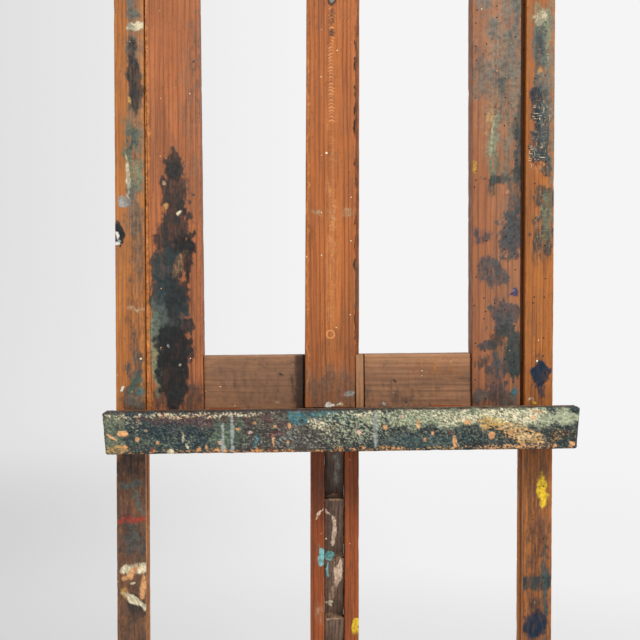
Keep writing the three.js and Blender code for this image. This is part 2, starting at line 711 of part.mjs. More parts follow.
function addClamp(easel) {
  const left = MAST.left + MAST_TAPER.in - CLAMP.play;
  const right = MAST.right + CLAMP.play;
  const across = [left - CLAMP.wall, right + CLAMP.wall];
  const side = shapeOf([
    [BEAK.front, CLAMP.bottom],
    [MAST.back + GAP, CLAMP.bottom],
    [MAST.back + GAP, CLAMP.top],
    [CLAMP.front, CLAMP.top],
    [CLAMP.front, BEAK.slopeTop],
    [BEAK.front, BEAK.top],
  ]);
  const passage = block(
    [left, right],
    [MAST.front - CLAMP.play, MAST.back + 2],
    [CLAMP.bottom - PAST, CLAMP.top + PAST],
  );
  const strapFace = MAST.back + GAP * 2;
  const strapBack = strapFace + STRAP.thickness;
  const seat = strapBack - STRAP_SCREW.sink;
  const places = [["left", left - CLAMP.wall / 2], ["right", right + CLAMP.wall / 2]];
  const holes = places.map(([, x]) =>
    aimed(bore(STRAP_SCREW.radius, -STRAP_SCREW.length), Y, x, seat, STRAP_Z));
  const sinks = places.map(([, x]) =>
    aimed(rod(STRAP_SCREW.head + GAP, 0, THROUGH, 16), Y, x, seat - GAP, STRAP_Z));
  const screwHole = aimed(bore(CLAMP_LOCK.radius), Y, SCREW_X, CLAMP.front, CLAMP_LOCK.z);

  add(easel, "clamp_block", cut(prismX(side, ...across), passage, screwHole, ...holes), WOOD.oak);
  const strap = block(across, [strapFace, strapBack], [STRAP.bottom, STRAP.top]);
  add(easel, "clamp_strap", cut(strap, ...holes, ...sinks), STEEL);
  for (const [hand, x] of places) {
    const screw = bolt(STRAP_SCREW, STRAP_SCREW.length - PAST);
    add(easel, `clamp_strap_screw_${hand}`, aimed(screw, Y, x, seat, STRAP_Z), STEEL);
  }
}

function addLockScrews(easel) {
  const tip = MAST.front - GAP * 1.5;
  const bridgeScrew = wingScrew(MAST_LOCK_RADIUS, tip - BRIDGE.front + GAP);
  const bridgeFace = BRIDGE.front - GAP;
  add(easel, "mast_lock_screw", aimed(bridgeScrew, FORWARD, SCREW_X, bridgeFace, BRIDGE_Z), BRASS);
  const clampScrew = wingScrew(CLAMP_LOCK.radius, tip - CLAMP.front + GAP);
  const clampFace = CLAMP.front - GAP;
  add(easel, "clamp_lock_screw", aimed(clampScrew, FORWARD, SCREW_X, clampFace, CLAMP_LOCK.z), BRASS);
}

// The assembly.
const easel = new THREE.Group();

const stand = new THREE.Group();
addSide(stand, -1);
addSide(stand, 1);
addStretcher(stand);
addBottomRail(stand);
addHeadRail(stand);
addPost(stand);
easel.add(stand);

const askew = new THREE.Group();
askew.position.z = ASKEW.pivotZ;
askew.rotation.y = -ASKEW.angle;
const carriage = new THREE.Group();
carriage.position.z = -ASKEW.pivotZ;
addBoards(carriage);
addCrossbar(carriage);
addTopRail(carriage);
addTray(carriage);
addPawl(carriage);
add(carriage, "pawl_spring", pinSpring(), STEEL);
askew.add(carriage);
easel.add(askew);

addMast(easel);
addClamp(easel);
addLockScrews(easel);

export default easel;
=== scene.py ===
"""The looks of a worn, paint-spattered studio easel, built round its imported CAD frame."""

import math
from types import SimpleNamespace as Sizes

import bmesh
import bpy
import numpy as np
from mathutils import Matrix, Vector, noise


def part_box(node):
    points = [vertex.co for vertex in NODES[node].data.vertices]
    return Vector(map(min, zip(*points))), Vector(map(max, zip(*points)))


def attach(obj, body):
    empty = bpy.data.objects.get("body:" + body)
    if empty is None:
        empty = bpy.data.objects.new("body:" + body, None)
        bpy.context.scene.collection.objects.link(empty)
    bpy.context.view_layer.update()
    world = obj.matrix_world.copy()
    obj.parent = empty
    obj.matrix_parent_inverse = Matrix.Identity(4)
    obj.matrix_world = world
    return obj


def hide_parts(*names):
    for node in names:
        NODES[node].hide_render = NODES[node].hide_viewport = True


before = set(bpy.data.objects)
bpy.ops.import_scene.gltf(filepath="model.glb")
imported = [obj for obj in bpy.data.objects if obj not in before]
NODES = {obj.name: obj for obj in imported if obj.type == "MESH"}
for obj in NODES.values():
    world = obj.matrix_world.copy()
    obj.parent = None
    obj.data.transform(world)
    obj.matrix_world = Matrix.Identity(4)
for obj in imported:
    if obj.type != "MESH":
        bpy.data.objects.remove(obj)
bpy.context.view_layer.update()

MM = 0.001

# ---------------------------------------------------------------- the easel's own dimensions, in millimetres
ASKEW = 0.009  # the inner frame's lean in the grooves, in radians
PIVOT_Z = 855  # the height that it leans about
GROOVE = Sizes(half=6, depth=14, bottom=104, closed=0.4)  # closed: what is left of it below its end
BOARD_Y = (-14, 14)
TONGUE_HALF = 5
BOARD_HEIGHTS = (758, 1244, 1440)
BOARD_LEFT = Sizes(inner=(-145.5, -145.5, -145.5), shoulder=(-202.1, -204.4, -202.6), tongue=-215.8)
BOARD_RIGHT = Sizes(inner=(150.6, 153.1, 154.1), shoulder=(204, 207.2, 208.5), tongue=218)
STRIP = Sizes(edge=208.1, front=-12.6)  # the paler strip that shows between the left board and its stile
RAIL_Y = (-10, 11.7)
CROSSBAR = Sizes(x=(-145.2, 150.2), z=(760, 853))
TOP_RAIL = Sizes(x=(-145.2, 153.3), z=(1365, 1438))
HOUSING = Sizes(x=(-36, 32.2), floor=794, back=6.3)  # wider than in the CAD by the dark line at its right
PASSAGE = Sizes(x=(-30.7, 32.5), back=6.3)  # the mast's, through the top rail
NOTCH = Sizes(x=(-9.5, 9.7), top=793.5)  # the pawl's, under the crossbar
REBATE = Sizes(width=4.5, depth=6)  # down the mast's right front edge
MAST_TAPER = Sizes(by=2.5, top=1300)  # how far its left side draws in, and by what height
RACK = Sizes(first=416, pitch=68, ledges=10, nose=14, root=26, nose_height=3, plain=18)
TRAY = Sizes(x=(-247, 255), ends=(-248, 257.5), z=(753.4, 798), y=(-63, -20), draw_in=3)
CHANNEL = Sizes(y=(-43, -22), floor=790, rear=794)
RUB = Sizes(x=-4.4, half=4.8, bottom=905, top=1245, chatter=(1108, 1186), pitch=3.6)  # the mast's
RING = Sizes(x=-5.5, z=876, radius=4.2)  # the round mark at the mast's foot
DRIPS = (-121.6, -111.9, 39.5)  # where paint ran down the tray
SEEN = (538, 1250, 1.2)  # the part whose paint is fine enough to need close points
POST_SEEN = (538, 790, 1.2)
FOOT = Sizes(arch=12, height=74, nose=40, flat=130, pad_end=72, toe=22, toe_drop=14)
BRACE = Sizes(half=18, foot_y=215, foot_z=74, stile_z=600, bottom=30)
COUNTERBORE = Sizes(radius=7, seat=37.7, end=60, z=580)
PEG_PROUD = 2.4  # how far pegs and dowels stand out of the timber
COAT_DROP = 1.8  # how much lower than in its lists the tray's paint lies
COAT_REACH = (8, 22)  # how far back from its front the tray's paint is whole, and where the last of it ends
FRONT = Sizes(stile=-18, post=12)  # the y of the timbers' front faces


# ---------------------------------------------------------------- shading
def rgb(red, green, blue):
    """A screen colour, 0 to 255, as the linear colour that a shader takes."""
    def linear(value):
        value /= 255
        return value / 12.92 if value <= 0.04045 else ((value + 0.055) / 1.055) ** 2.4
    return (linear(red), linear(green), linear(blue), 1.0)


class Graph:
    """A material under construction. Each method adds a node and returns its output socket."""

    def __init__(self, name):
        self.material = bpy.data.materials.new(name)
        self.material.use_nodes = True
        self.tree = self.material.node_tree
        self.shader = self.tree.nodes["Principled BSDF"]
        self.place = self.add("ShaderNodeTexCoord").outputs["Object"]

    def feed(self, node, inputs):
        """Links or sets a node's inputs."""
        for key, value in inputs.items():
            if isinstance(value, bpy.types.NodeSocket):
                self.tree.links.new(value, node.inputs[key])
            else:
                node.inputs[key].default_value = value

    def add(self, kind, inputs=None, **settings):
        node = self.tree.nodes.new(kind)
        for key, value in settings.items():
            setattr(node, key, value)
        self.feed(node, inputs or {})
        return node

    def math(self, operation, a, b=0.0, c=0.0):
        return self.add("ShaderNodeMath", {0: a, 1: b, 2: c}, operation=operation).outputs[0]

    def times(self, a, b):
        return self.math("MULTIPLY", a, b)

    def vector(self, operation, a, b=(0, 0, 0)):
        node = self.add("ShaderNodeVectorMath", {0: a, 1: b}, operation=operation)
        return node.outputs["Value" if operation in ("LENGTH", "DOT_PRODUCT") else "Vector"]

    def scaled(self, a, scale):
        return self.vector("MULTIPLY", a, scale)

    def split(self, a):
        return self.add("ShaderNodeSeparateXYZ", {0: a}).outputs

    def joined(self, x, y, z):
        return self.add("ShaderNodeCombineXYZ", {0: x, 1: y, 2: z}).outputs[0]

    def noise(self, place, scale=1.0, detail=2.0, rough=0.5):
        inputs = {"Vector": place, "Scale": scale, "Detail": detail, "Roughness": rough}
        return self.add("ShaderNodeTexNoise", inputs).outputs["Fac"]

    def step(self, value, low, high):
        inputs = {0: value, 1: low, 2: high, 3: 0.0, 4: 1.0}
        return self.add("ShaderNodeMapRange", inputs, interpolation_type="SMOOTHSTEP").outputs[0]

    def mix(self, share, a, b, blend="MIX"):
        node = self.add("ShaderNodeMix", {0: share, 6: a, 7: b}, data_type="RGBA", blend_type=blend)
        return node.outputs[2]

    def blend(self, share, a, b):
        return self.add("ShaderNodeMix", {0: share, 2: a, 3: b}, data_type="FLOAT").outputs[0]

    def attribute(self, name, output="Fac"):
        return self.add("ShaderNodeAttribute", attribute_name=name).outputs[output]

    def finish(self, colour, roughness, height, depth, metallic=0.0):
        """Colour, roughness and height go to the shader. depth is how deep the relief is, in metres."""
        bump = self.add("ShaderNodeBump", {"Strength": 1.0, "Distance": depth, "Height": height})
        self.feed(self.shader, {
            "Base Color": colour, "Roughness": roughness, "Metallic": metallic,
            "Specular IOR Level": 0.5 if metallic else 0.28, "Normal": bump.outputs["Normal"]})
        return self.material


# Where the grain runs: which of a point's coordinates lie across the timber and which along it.
GRAIN = {"z": (0, 1, 2), "x": (2, 1, 0), "y": (0, 2, 1)}


def wood(g, tones, along="z", ring=5.5, heart=(30, 20), offset=0.0, dirt=0.35, contrast=1.0):
    """Old softwood's colour and height: growth rings round a heart beside the timber, fibres, and grime."""
    light, middle, dark, grime = (rgb(*tone) for tone in tones)
    parts = g.split(g.place)
    a, b, c = (parts[i] for i in GRAIN[along])
    c = g.math("ADD", c, offset)
    grain = g.joined(a, b, c)

    def across(scale, run):
        return g.scaled(grain, (scale, scale, run))

    slow = g.noise(across(5.0, 1.6), 1, 2)
    quick = g.noise(across(40.0, 9.0), 1, 2)
    radius = g.vector("LENGTH", g.joined(
        g.math("SUBTRACT", a, heart[0] * MM), g.math("SUBTRACT", b, heart[1] * MM), 0.0))
    radius = g.math("MULTIPLY_ADD", slow, 0.020, radius)
    radius = g.math("MULTIPLY_ADD", quick, 0.0028, radius)
    uneven = g.noise(g.joined(radius, 0.0, 0.0), 110, 1)
    turn = g.math("MULTIPLY_ADD", uneven, 1.6, g.math("DIVIDE", radius, ring * MM))
    phase = g.math("FRACT", turn)
    late = g.math("POWER", g.step(phase, 0.25, 0.9), 2.2)
    late = g.times(late, g.math("SUBTRACT", 1.0, g.step(phase, 0.9, 1.0)))
    strong = g.noise(g.joined(g.math("FLOOR", turn), offset, 0.0), 1.7, 1)
    late = g.times(late, g.step(strong, 0.3, 0.66))
    fibre = g.noise(across(420.0, 14.0), 1, 4, 0.7)
    wide = g.noise(across(38.0, 2.6), 1, 4, 0.6)
    pores = g.noise(across(900.0, 24.0), 1, 2, 0.6)
    handled = g.noise(across(20.0, 8.0), 1, 6, 0.72)
    faded = g.noise(across(9.0, 3.0), 1, 4, 0.65)
    speck = g.noise(g.scaled(g.place, (420, 420, 300)), 1, 2, 0.5)
    colour = g.mix(g.step(wide, 0.32, 0.68), light, middle)
    colour = g.mix(g.times(late, 0.88 * contrast), colour, dark)
    for field, start, end, share, tone in (
            (fibre, 0.46, 0.66, 0.6 * contrast, dark), (fibre, 0.48, 0.3, 0.4 * contrast, light),
            (pores, 0.58, 0.70, 0.5 * contrast, grime), (handled, 0.44, 0.62, dirt, grime),
            (faded, 0.42, 0.66, 0.45, middle), (faded, 0.46, 0.30, 0.30, dark),
            (speck, 0.6, 0.72, 0.4, grime)):
        colour = g.mix(g.times(g.step(field, start, end), share), colour, tone)
    height = g.math("SUBTRACT", g.times(fibre, 0.6), g.times(late, 0.3))
    return colour, height


def dots(g, spread, radius, share, offset=0.0):
    """Scattered round spots on the front and the back, at most one in each cell of the given spread."""
    parts = g.split(g.place)
    place = g.scaled(g.joined(parts[0], parts[2], 0.0), (1 / (spread * MM),) * 3)
    place = g.vector("ADD", place, (offset, offset * 3.7, 0))
    facing = g.math("ABSOLUTE", g.split(g.add("ShaderNodeNewGeometry").outputs["Normal"])[1])
    cell = g.add("ShaderNodeTexVoronoi", {"Vector": place, "Scale": 1.0}, voronoi_dimensions="2D")
    wobble = g.noise(g.place, 500, 2)
    distance = g.math("MULTIPLY_ADD", wobble, 0.5 * radius / spread, cell.outputs["Distance"])
    near = g.step(distance, 1.35 * radius / spread, 1.05 * radius / spread)
    near = g.times(near, g.step(facing, 0.5, 0.8))
    pick = g.split(cell.outputs["Color"])
    return g.times(near, g.math("LESS_THAN", pick[0], share)), pick[1]


PAINTS = {name: rgb(*screen) for name, screen in {
    "charcoal": (38, 41, 42), "soot": (27, 29, 30), "navy": (10, 40, 52), "teal": (50, 80, 82),
    "deep": (40, 56, 58), "slate": (86, 96, 92), "sage": (124, 134, 106), "pale": (166, 172, 142),
    "cream": (222, 210, 176), "white": (232, 228, 218), "grey": (154, 160, 156), "haze": (112, 108, 94),
    "red": (158, 52, 40), "yellow": (228, 190, 40), "orange": (214, 158, 106), "pink": (220, 180, 160),
    "turquoise": (44, 124, 138), "ochre": (196, 150, 86), "maroon": (92, 58, 56), "purple": (62, 50, 92),
    "burn": (62, 38, 28), "scuff": (84, 54, 40), "bare": (212, 146, 88), "dust": (168, 138, 108),
    "honey": (200, 124, 56), "murk": (78, 62, 54), "green": (70, 100, 84),
    "lip": (56, 40, 38), "umber": (34, 23, 17), "mustard": (186, 142, 52), "aqua": (120, 188, 188),
    "ink": (0, 38, 60), "peach": (222, 194, 168), "dusk": (54, 62, 70),
}.items()}


def scratches(g, place, front, patch):
    """Where a patch of paint is scratched, level and upright. A patch is (x, z, half width, half height)."""
    x, z, wide, high = patch
    node = g.add("ShaderNodeMapping", {
        "Vector": place, "Location": (x * MM, front * MM, z * MM), "Scale": (wide * MM, 9 * MM, high * MM),
    }, vector_type="TEXTURE")
    inside = g.step(g.vector("LENGTH", node.outputs[0]), 1.05, 0.7)
    level = g.noise(g.scaled(place, (90, 60, 760)), 1, 3, 0.7)
    steep = g.noise(g.scaled(place, (760, 60, 100)), 1, 3, 0.7)
    broad = g.noise(g.scaled(place, (120, 60, 90)), 1, 4, 0.7)
    lines = g.times(g.step(level, 0.54, 0.60), g.step(broad, 0.48, 0.56))
    bars = g.times(g.step(steep, 0.55, 0.61), g.step(broad, 0.52, 0.44))
    return g.times(g.math("MAXIMUM", lines, bars), inside)


def timber(name, tones, front=0.0, holes=None, scratched=(), spatter=0.10, rubbed_and_shaded=False, **grain):
    """Worn timber: its grain, its paler arrises, the paint that its mesh carries, and on the mast painted
    shade in its rub marks' dents with a painted highlight on their ridges.
    """
    g = Graph(name)
    colour, height = wood(g, tones, **grain)
    worn = g.times(g.attribute("wear"), g.step(g.noise(g.place, 130, 3), 0.38, 0.6))
    colour = g.mix(g.times(worn, 0.4), colour, rgb(*tones[0]))
    if rubbed_and_shaded:
        # On the mast's rub marks: painted shade (burn) in the dents and a painted highlight (bare) on the
        # ridges between them.
        relief = g.attribute("relief")
        colour = g.mix(g.times(g.step(relief, 0.42, 0.15), 0.8), colour, PAINTS["burn"])
        colour = g.mix(g.times(g.step(relief, 0.55, 0.8), 0.6), colour, PAINTS["bare"])
    paint = g.attribute("paint", "Color")
    cover = g.attribute("cover")
    streak = g.noise(g.scaled(g.place, (620, 400, 60)), 1, 4, 0.7)
    broken = g.step(g.math("MULTIPLY_ADD", g.math("SUBTRACT", streak, 0.5), 1.4, cover), 0.25, 0.65)
    share = g.blend(0.4, cover, broken)
    grit = g.noise(g.place, 700, 3, 0.7)
    lit = g.mix(g.step(grit, 0.35, 0.65), rgb(215, 214, 212), rgb(255, 255, 255))
    colour = g.mix(share, colour, g.mix(1.0, paint, lit, "MULTIPLY"))
    height = g.math("MULTIPLY_ADD", share, 0.8, height)
    for *patch, under, shown in scratched:
        share_here = g.times(scratches(g, g.place, front, patch), shown)
        colour = g.mix(share_here, colour, PAINTS[under])
        height = g.math("MULTIPLY_ADD", share_here, -0.8, height)
    for spread, radius, part, paints, offset in (
            (16, 0.65, 1.0, ("cream", "dust", "orange"), 0.0),
            (29, 1.2, 0.8, ("slate", "cream", "deep"), 0.37)):
        mask, pick = dots(g, spread, radius, spatter * part, offset)
        first, second, third = (PAINTS[paint_name] for paint_name in paints)
        drop = g.mix(g.math("GREATER_THAN", pick, 0.4), first, second)
        colour = g.mix(mask, colour, g.mix(g.math("GREATER_THAN", pick, 0.75), drop, third))
        height = g.math("MULTIPLY_ADD", mask, 0.9, height)
    if holes:
        mask, _ = dots(g, holes[0], 0.8, holes[1], holes[2])
        colour = g.mix(mask, colour, rgb(24, 16, 12))
        height = g.math("MULTIPLY_ADD", mask, -3.0, height)
    bare = g.blend(g.step(g.noise(g.place, 60, 3), 0.3, 0.7), 0.46, 0.7)
    return g.finish(colour, g.blend(share, bare, 0.4), height, 0.30 * MM)


def metal(name, base, stain):
    g = Graph(name)
    spots = g.noise(g.place, 160, 5, 0.65)
    fine = g.noise(g.place, 900, 3)
    colour = g.mix(g.step(spots, 0.45, 0.65), rgb(*base), rgb(*stain))
    return g.finish(colour, g.blend(spots, 0.32, 0.6), g.math("ADD", spots, fine), 0.15 * MM, 0.9)


def rubber():
    g = Graph("black_rubber")
    dust = g.noise(g.place, 90, 4)
    colour = g.mix(g.step(dust, 0.45, 0.75), rgb(26, 25, 24), rgb(70, 66, 60))
    return g.finish(colour, 0.8, dust, 0.2 * MM)


# ---------------------------------------------------------------- mesh building
def pieces_along(outlines, step):
    """How many pieces each edge of an outline is cut into, enough for the longest it gets."""
    count = len(outlines[0])
    steps = step if isinstance(step, list) else [step] * count
    lengths = [max(math.dist(o[i], o[(i + 1) % count]) for o in outlines) for i in range(count)]
    return [max(1, math.ceil(length / step)) for length, step in zip(lengths, steps)]


def fillet(points, radius, pieces):
    """A closed outline with round corners and its edges cut into pieces, as (u, v, wear) triples."""
    made = []
    count = len(points)
    for i in range(count):
        here, far = Vector(points[i]), Vector(points[(i + 1) % count])
        before, after = Vector(points[i - 1]) - here, far - here
        reach, room = min(radius, before.length * 0.45), min(radius, after.length * 0.45)
        start, end = here + before.normalized() * reach, here + after.normalized() * room
        for share in (0.0, 0.35, 0.65, 1.0):
            curve = start * (1 - share) ** 2 + here * 2 * share * (1 - share) + end * share ** 2
            made.append((curve.x, curve.y, 1.0 if 0 < share < 1 else 0.5))
        last = far - after.normalized() * room
        for j in range(1, pieces[i]):
            point = end.lerp(last, j / pieces[i])
            made.append((point.x, point.y, 0.0))
    return made


def inset(section, amount):
    """Moves an outline's points inwards by amount. Outlines run anticlockwise."""
    made = []
    count = len(section)
    for i, (u, v, wear) in enumerate(section):
        ring = [section[(i + k) % count][:2] for k in range(1, count)]
        apart = [Vector(point) for point in ring if math.dist(point, (u, v)) > 0.01]
        along = (apart[0] - apart[-1]).normalized()
        made.append((u - along.y * amount, v + along.x * amount, 1.0))
    return made


def stations(start, end, step, breaks=(), fine=(0, 0, 1)):
    """Places along a timber, with each break doubled so that the section can change there.

    fine is (from, to, step) for a part of it that needs closer ones.
    """
    stops = sorted({start, end, *(b for b in (*breaks, *fine[:2]) if start < b < end)})
    places = []
    for low, high in zip(stops, stops[1:]):
        inside = fine[0] <= low and high <= fine[1]
        pieces = max(1, round((high - low) / (fine[2] if inside else step)))
        places += [(low + (high - low) * i / pieces, low, high) for i in range(pieces + 1)]
    return places


def roughened(mesh, seed, wobble, nicks):
    """Moves points inwards along their normals: a slow waviness all over, and chips on the arrises."""
    mesh.normal_update()
    wear = mesh.verts.layers.float["wear"]
    shift = Vector((seed * 3.1, seed * 1.7, seed * 0.9))
    moves = []
    for vert in mesh.verts:
        slow = noise.noise(vert.co * 18 + shift)
        fine = noise.noise(vert.co * 90 + shift)
        chip = max(0.0, noise.noise(vert.co * 55 - shift) - 0.15)
        chip += max(0.0, noise.noise(vert.co * 160 + shift) - 0.35)
        amount = wobble * (0.6 + 0.4 * slow + 0.25 * fine) + nicks * vert[wear] * chip
        moves.append(vert.normal * -amount * MM)
    for vert, move in zip(mesh.verts, moves):
        vert.co += move


def in_scene(name, data):
    made = bpy.data.objects.new(name, data)
    bpy.context.scene.collection.objects.link(made)
    return made


def mesh_in_scene(name, mesh, material):
    data = bpy.data.meshes.new(name)
    mesh.to_mesh(data)
    mesh.free()
    for face in data.polygons:
        face.use_smooth = True
    data.materials.append(material)
    return in_scene(name, data)


def stand_in(node, mesh, body, material, ending="timber", smooth=38):
    """The detailed piece that takes a CAD node's place."""
    made = mesh_in_scene(f"{node}_{ending}", mesh, material)
    made.data.set_sharp_from_angle(angle=math.radians(smooth))
    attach(made, body)
    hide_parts(node)
    return made


def swept(outline_at, places, place, radius=1.5, step=4, round_end=1.5, seed=0.0, wobble=0.25, nicks=1.2,
          surface=None):
    """A timber from the corners that outline_at(s, low, high) gives at each place along it.

    surface(x, y, z), in millimetres, gives how far its front stands out there and how light that place looks.
    """
    pieces = pieces_along([outline_at(*stop) for stop in places], step)
    mesh = bmesh.new()
    wear = mesh.verts.layers.float.new("wear")
    first, last = places[0], places[-1]
    head = fillet(outline_at(*first), radius, pieces)
    tail = fillet(outline_at(*last), radius, pieces)
    rings = [(inset(head, round_end), first[0]), (inset(head, round_end * 0.3), first[0] + round_end * 0.3)]
    for stop in places:
        s = min(max(stop[0], first[0] + round_end), last[0] - round_end)
        rings.append((fillet(outline_at(*stop), radius, pieces), s))
    rings.append((inset(tail, round_end * 0.3), last[0] - round_end * 0.3))
    rings.append((inset(tail, round_end), last[0]))
    made = []
    for section, s in rings:
        ring = []
        for u, v, worn in section:
            vert = mesh.verts.new(Vector(place(u, v, s)) * MM)
            vert[wear] = worn
            ring.append(vert)
        made.append(ring)
    count = len(made[0])
    for low, high in zip(made, made[1:]):
        for i in range(count):
            j = (i + 1) % count
            mesh.faces.new((low[i], low[j], high[j], high[i]))
    mesh.faces.new(list(reversed(made[0])))
    mesh.faces.new(made[-1])
    bmesh.ops.remove_doubles(mesh, verts=mesh.verts, dist=1e-6)
    bmesh.ops.recalc_face_normals(mesh, faces=mesh.faces)
    bmesh.ops.triangulate(mesh, faces=[face for face in mesh.faces if len(face.verts) > 4])
    roughened(mesh, seed, wobble, nicks)
    relief = mesh.verts.layers.float.new("relief")
    for vert in mesh.verts:
        vert[relief] = 0.5
        facing = max(-vert.normal.y, vert.normal.z * 0.4)
        if surface and facing > 0.35:
            rise, vert[relief] = surface(*(vert.co / MM))
            vert.co += vert.normal * rise * facing * MM
    return mesh


def lean(x, y, z):
    """Turns a point of the askew inner frame into the easel's frame, in millimetres."""
    dz = z - PIVOT_Z
    cosine, sine = math.cos(ASKEW), math.sin(ASKEW)
    return (x * cosine - dz * sine, y, PIVOT_Z + x * sine + dz * cosine)


def leaning_across(u, v, s):
    """Where a point of a rail's section lies, s along the rail."""
    return lean(s, u, v)


def upright(x, y, z):
    return (x, y, z)


def box_mm(node):
    low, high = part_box(node)
    return tuple(low / MM), tuple(high / MM)


def rectangle(u, v):
    return [(u[0], v[0]), (u[1], v[0]), (u[1], v[1]), (u[0], v[1])]


def within(span, low, high):
    """Whether low to high lies inside span, give or take a rounding error."""
    return low >= span[0] - 0.1 and high <= span[1] + 0.1


def bar(node, body, axis, material, slot, radius=2.0, step=4, seed=0.0, fine=(0, 0, 1), **wear):
    """A plain straight timber that fills its CAD node's box."""
    spans = list(zip(*box_mm(node)))
    k = "xyz".index(axis)
    across, up = (k + 1) % 3, (k + 2) % 3
    outline = rectangle(spans[across], spans[up])

    def place(u, v, s):
        point = {across: u, up: v, k: s}
        return (point[0], point[1], point[2])

    places = stations(*spans[k], 9, fine=fine)
    mesh = swept(lambda s, a, b: outline, places, place, radius, step, seed=seed, **wear)
    return stand_in(node, mesh, body, material)


# ---------------------------------------------------------------- the timbers
def make_stile(hand, side, material, daubs):
    """u runs outwards from the easel's middle."""
    low, high = box_mm(f"stile_{hand}")
    inner = min(abs(low[0]), abs(high[0]))
    outer = max(abs(low[0]), abs(high[0]))
    front, back = low[1], high[1]

    def outline_at(s, a, b):
        deep = inner + (GROOVE.depth if a >= GROOVE.bottom - 1 else GROOVE.closed)
        half = GROOVE.half
        return [
            (inner, front), (outer, front), (outer, back), (inner, back),
            (inner, half), (deep, half), (deep, -half), (inner, -half),
        ]

    places = stations(BRACE.foot_z, high[2], 8, [GROOVE.bottom], SEEN)
    steps = [1.1, 3.6, 6, 4, 8, 6, 8, 4]
    mesh = swept(outline_at, places, lambda u, v, s: (side * u, v, s), 1.6, steps, seed=side * 2.0, nicks=1.0)
    made = stand_in(f"stile_{hand}", mesh, "stand", material)
    return painted(made, front, daubs)


def board_edges(board, side, z):
    """A board's inner edge and shoulder at a height, outwards from the middle."""
    i = 0 if z <= BOARD_HEIGHTS[1] else 1
    share = (z - BOARD_HEIGHTS[i]) / (BOARD_HEIGHTS[i + 1] - BOARD_HEIGHTS[i])
    return tuple(side * (edge[i] + (edge[i + 1] - edge[i]) * share) for edge in (board.inner, board.shoulder))


def make_board(hand, board, side, material, daubs):
    """u runs outwards. The left board's shoulder carries a thin strip that fills its gap to the stile."""
    front, back = BOARD_Y
    half = TONGUE_HALF

    def outline_at(s, a, b):
        inner, shoulder = board_edges(board, side, s)
        tip = side * board.tongue
        edge = shoulder
        if side < 0:
            edge = max(edge, STRIP.edge - ASKEW * (s - PIVOT_Z))
        return [
            (inner, front), (shoulder, front), (shoulder, STRIP.front), (edge, STRIP.front),
            (edge, -half), (tip, -half), (tip, half), (shoulder, half), (shoulder, back), (inner, back),
        ]

    places = stations(BOARD_HEIGHTS[0], BOARD_HEIGHTS[2], 6, fine=SEEN)
    steps = [1.15, 2, 2, 4, 6, 6, 6, 4, 6, 4]
    mesh = swept(outline_at, places, lambda u, v, s: lean(side * u, v, s), 1.5, steps, 0.6, side * 5.0)
    made = stand_in(f"board_{hand}", mesh, "carriage", material)
    return painted(made, front, daubs, 4.0)


def rub_marks(x, y, z):
    """The dents that the locking screw's tip left down the mast's front, and the ring where it last stood.
    The second value sets their colour: painted shade in each dent, a painted highlight on the ridges between,
    and a paler ring.
    """
    away = x - RUB.x - 0.8 * math.sin(z * 0.031)
    bite = max(0.0, 1 - (away / RUB.half) ** 2)
    loose = noise.noise(Vector((x * 0.2, 3.0, z * 0.16)))
    strength = 0.30
    if RUB.chatter[0] < z < RUB.chatter[1]:
        strength = 0.7
    elif z > RUB.chatter[1]:
        strength = 0.55 + 0.6 * loose
    if not RUB.bottom < z < RUB.top:
        strength = 0.0
    wave = math.cos(2 * math.pi * (z + 0.55 * abs(away) + 1.2 * loose) / RUB.pitch)
    rise = -0.55 * bite * strength * (0.35 + 0.65 * wave)
    light = 0.5 + bite * strength * (0.10 - 0.42 * wave + 0.3 * loose)
    around = math.hypot(x - RING.x, z - RING.z)
    rim = max(0.0, 1 - ((around - RING.radius) / 1.15) ** 2)
    return rise - 0.4 * rim, light + 0.36 * rim


def make_mast(material, daubs):
    low, high = box_mm("mast")
    left, right, front, back = low[0], high[0], low[1], high[1]

    def outline_at(s, a, b):
        taper = MAST_TAPER.by * min(1.0, (s - low[2]) / (MAST_TAPER.top - low[2]))
        return [
            (left + taper, front), (right - REBATE.width, front),
            (right - REBATE.width, front + REBATE.depth), (right, front + REBATE.depth),
            (right, back), (left + taper, back),
        ]

    places = stations(low[2], high[2], 7, fine=(low[2], SEEN[1], 1.15))
    steps = [0.9, 3, 3, 4, 5, 4]
    mesh = swept(outline_at, places, upright, 1.5, steps, seed=8.0, round_end=0.6, surface=rub_marks)
    made = stand_in("mast", mesh, "mast", material)
    return painted(made, front, daubs, 6.0)


def crust(x, y, z):
    """Years of scraped-off paint on the tray: its thickness, and how much of a peak each place is."""
    x, z = x * math.cos(ASKEW) + (z - PIVOT_Z) * math.sin(ASKEW), z - x * math.sin(ASKEW)
    at = Vector((x, y * 0.6, z))
    lumps = noise.noise(at * 0.085)
    ridges = 1 - 2 * abs(noise.noise(Vector((x * 0.20, y * 0.2, z * 0.32))))
    fine = noise.noise(at * 0.55)
    grit = noise.noise(at * 1.1)
    relief = min(1.0, max(0.0, 0.30 + 0.42 * lumps + 0.34 * ridges + 0.25 * fine + 0.12 * grit))
    up = min(1.0, max(0.0, (z - TRAY.z[0]) / 40))
    thick = 0.5 + 1.0 * up + 0.5 * noise.noise(at * 0.03)
    drips = sum(0.8 * max(0.0, 1 - abs(x - d - 0.8 * math.sin(z * 0.3)) / 2.2) for d in DRIPS)
    return thick * relief * 1.3 + drips * (0.6 + 0.4 * fine), relief


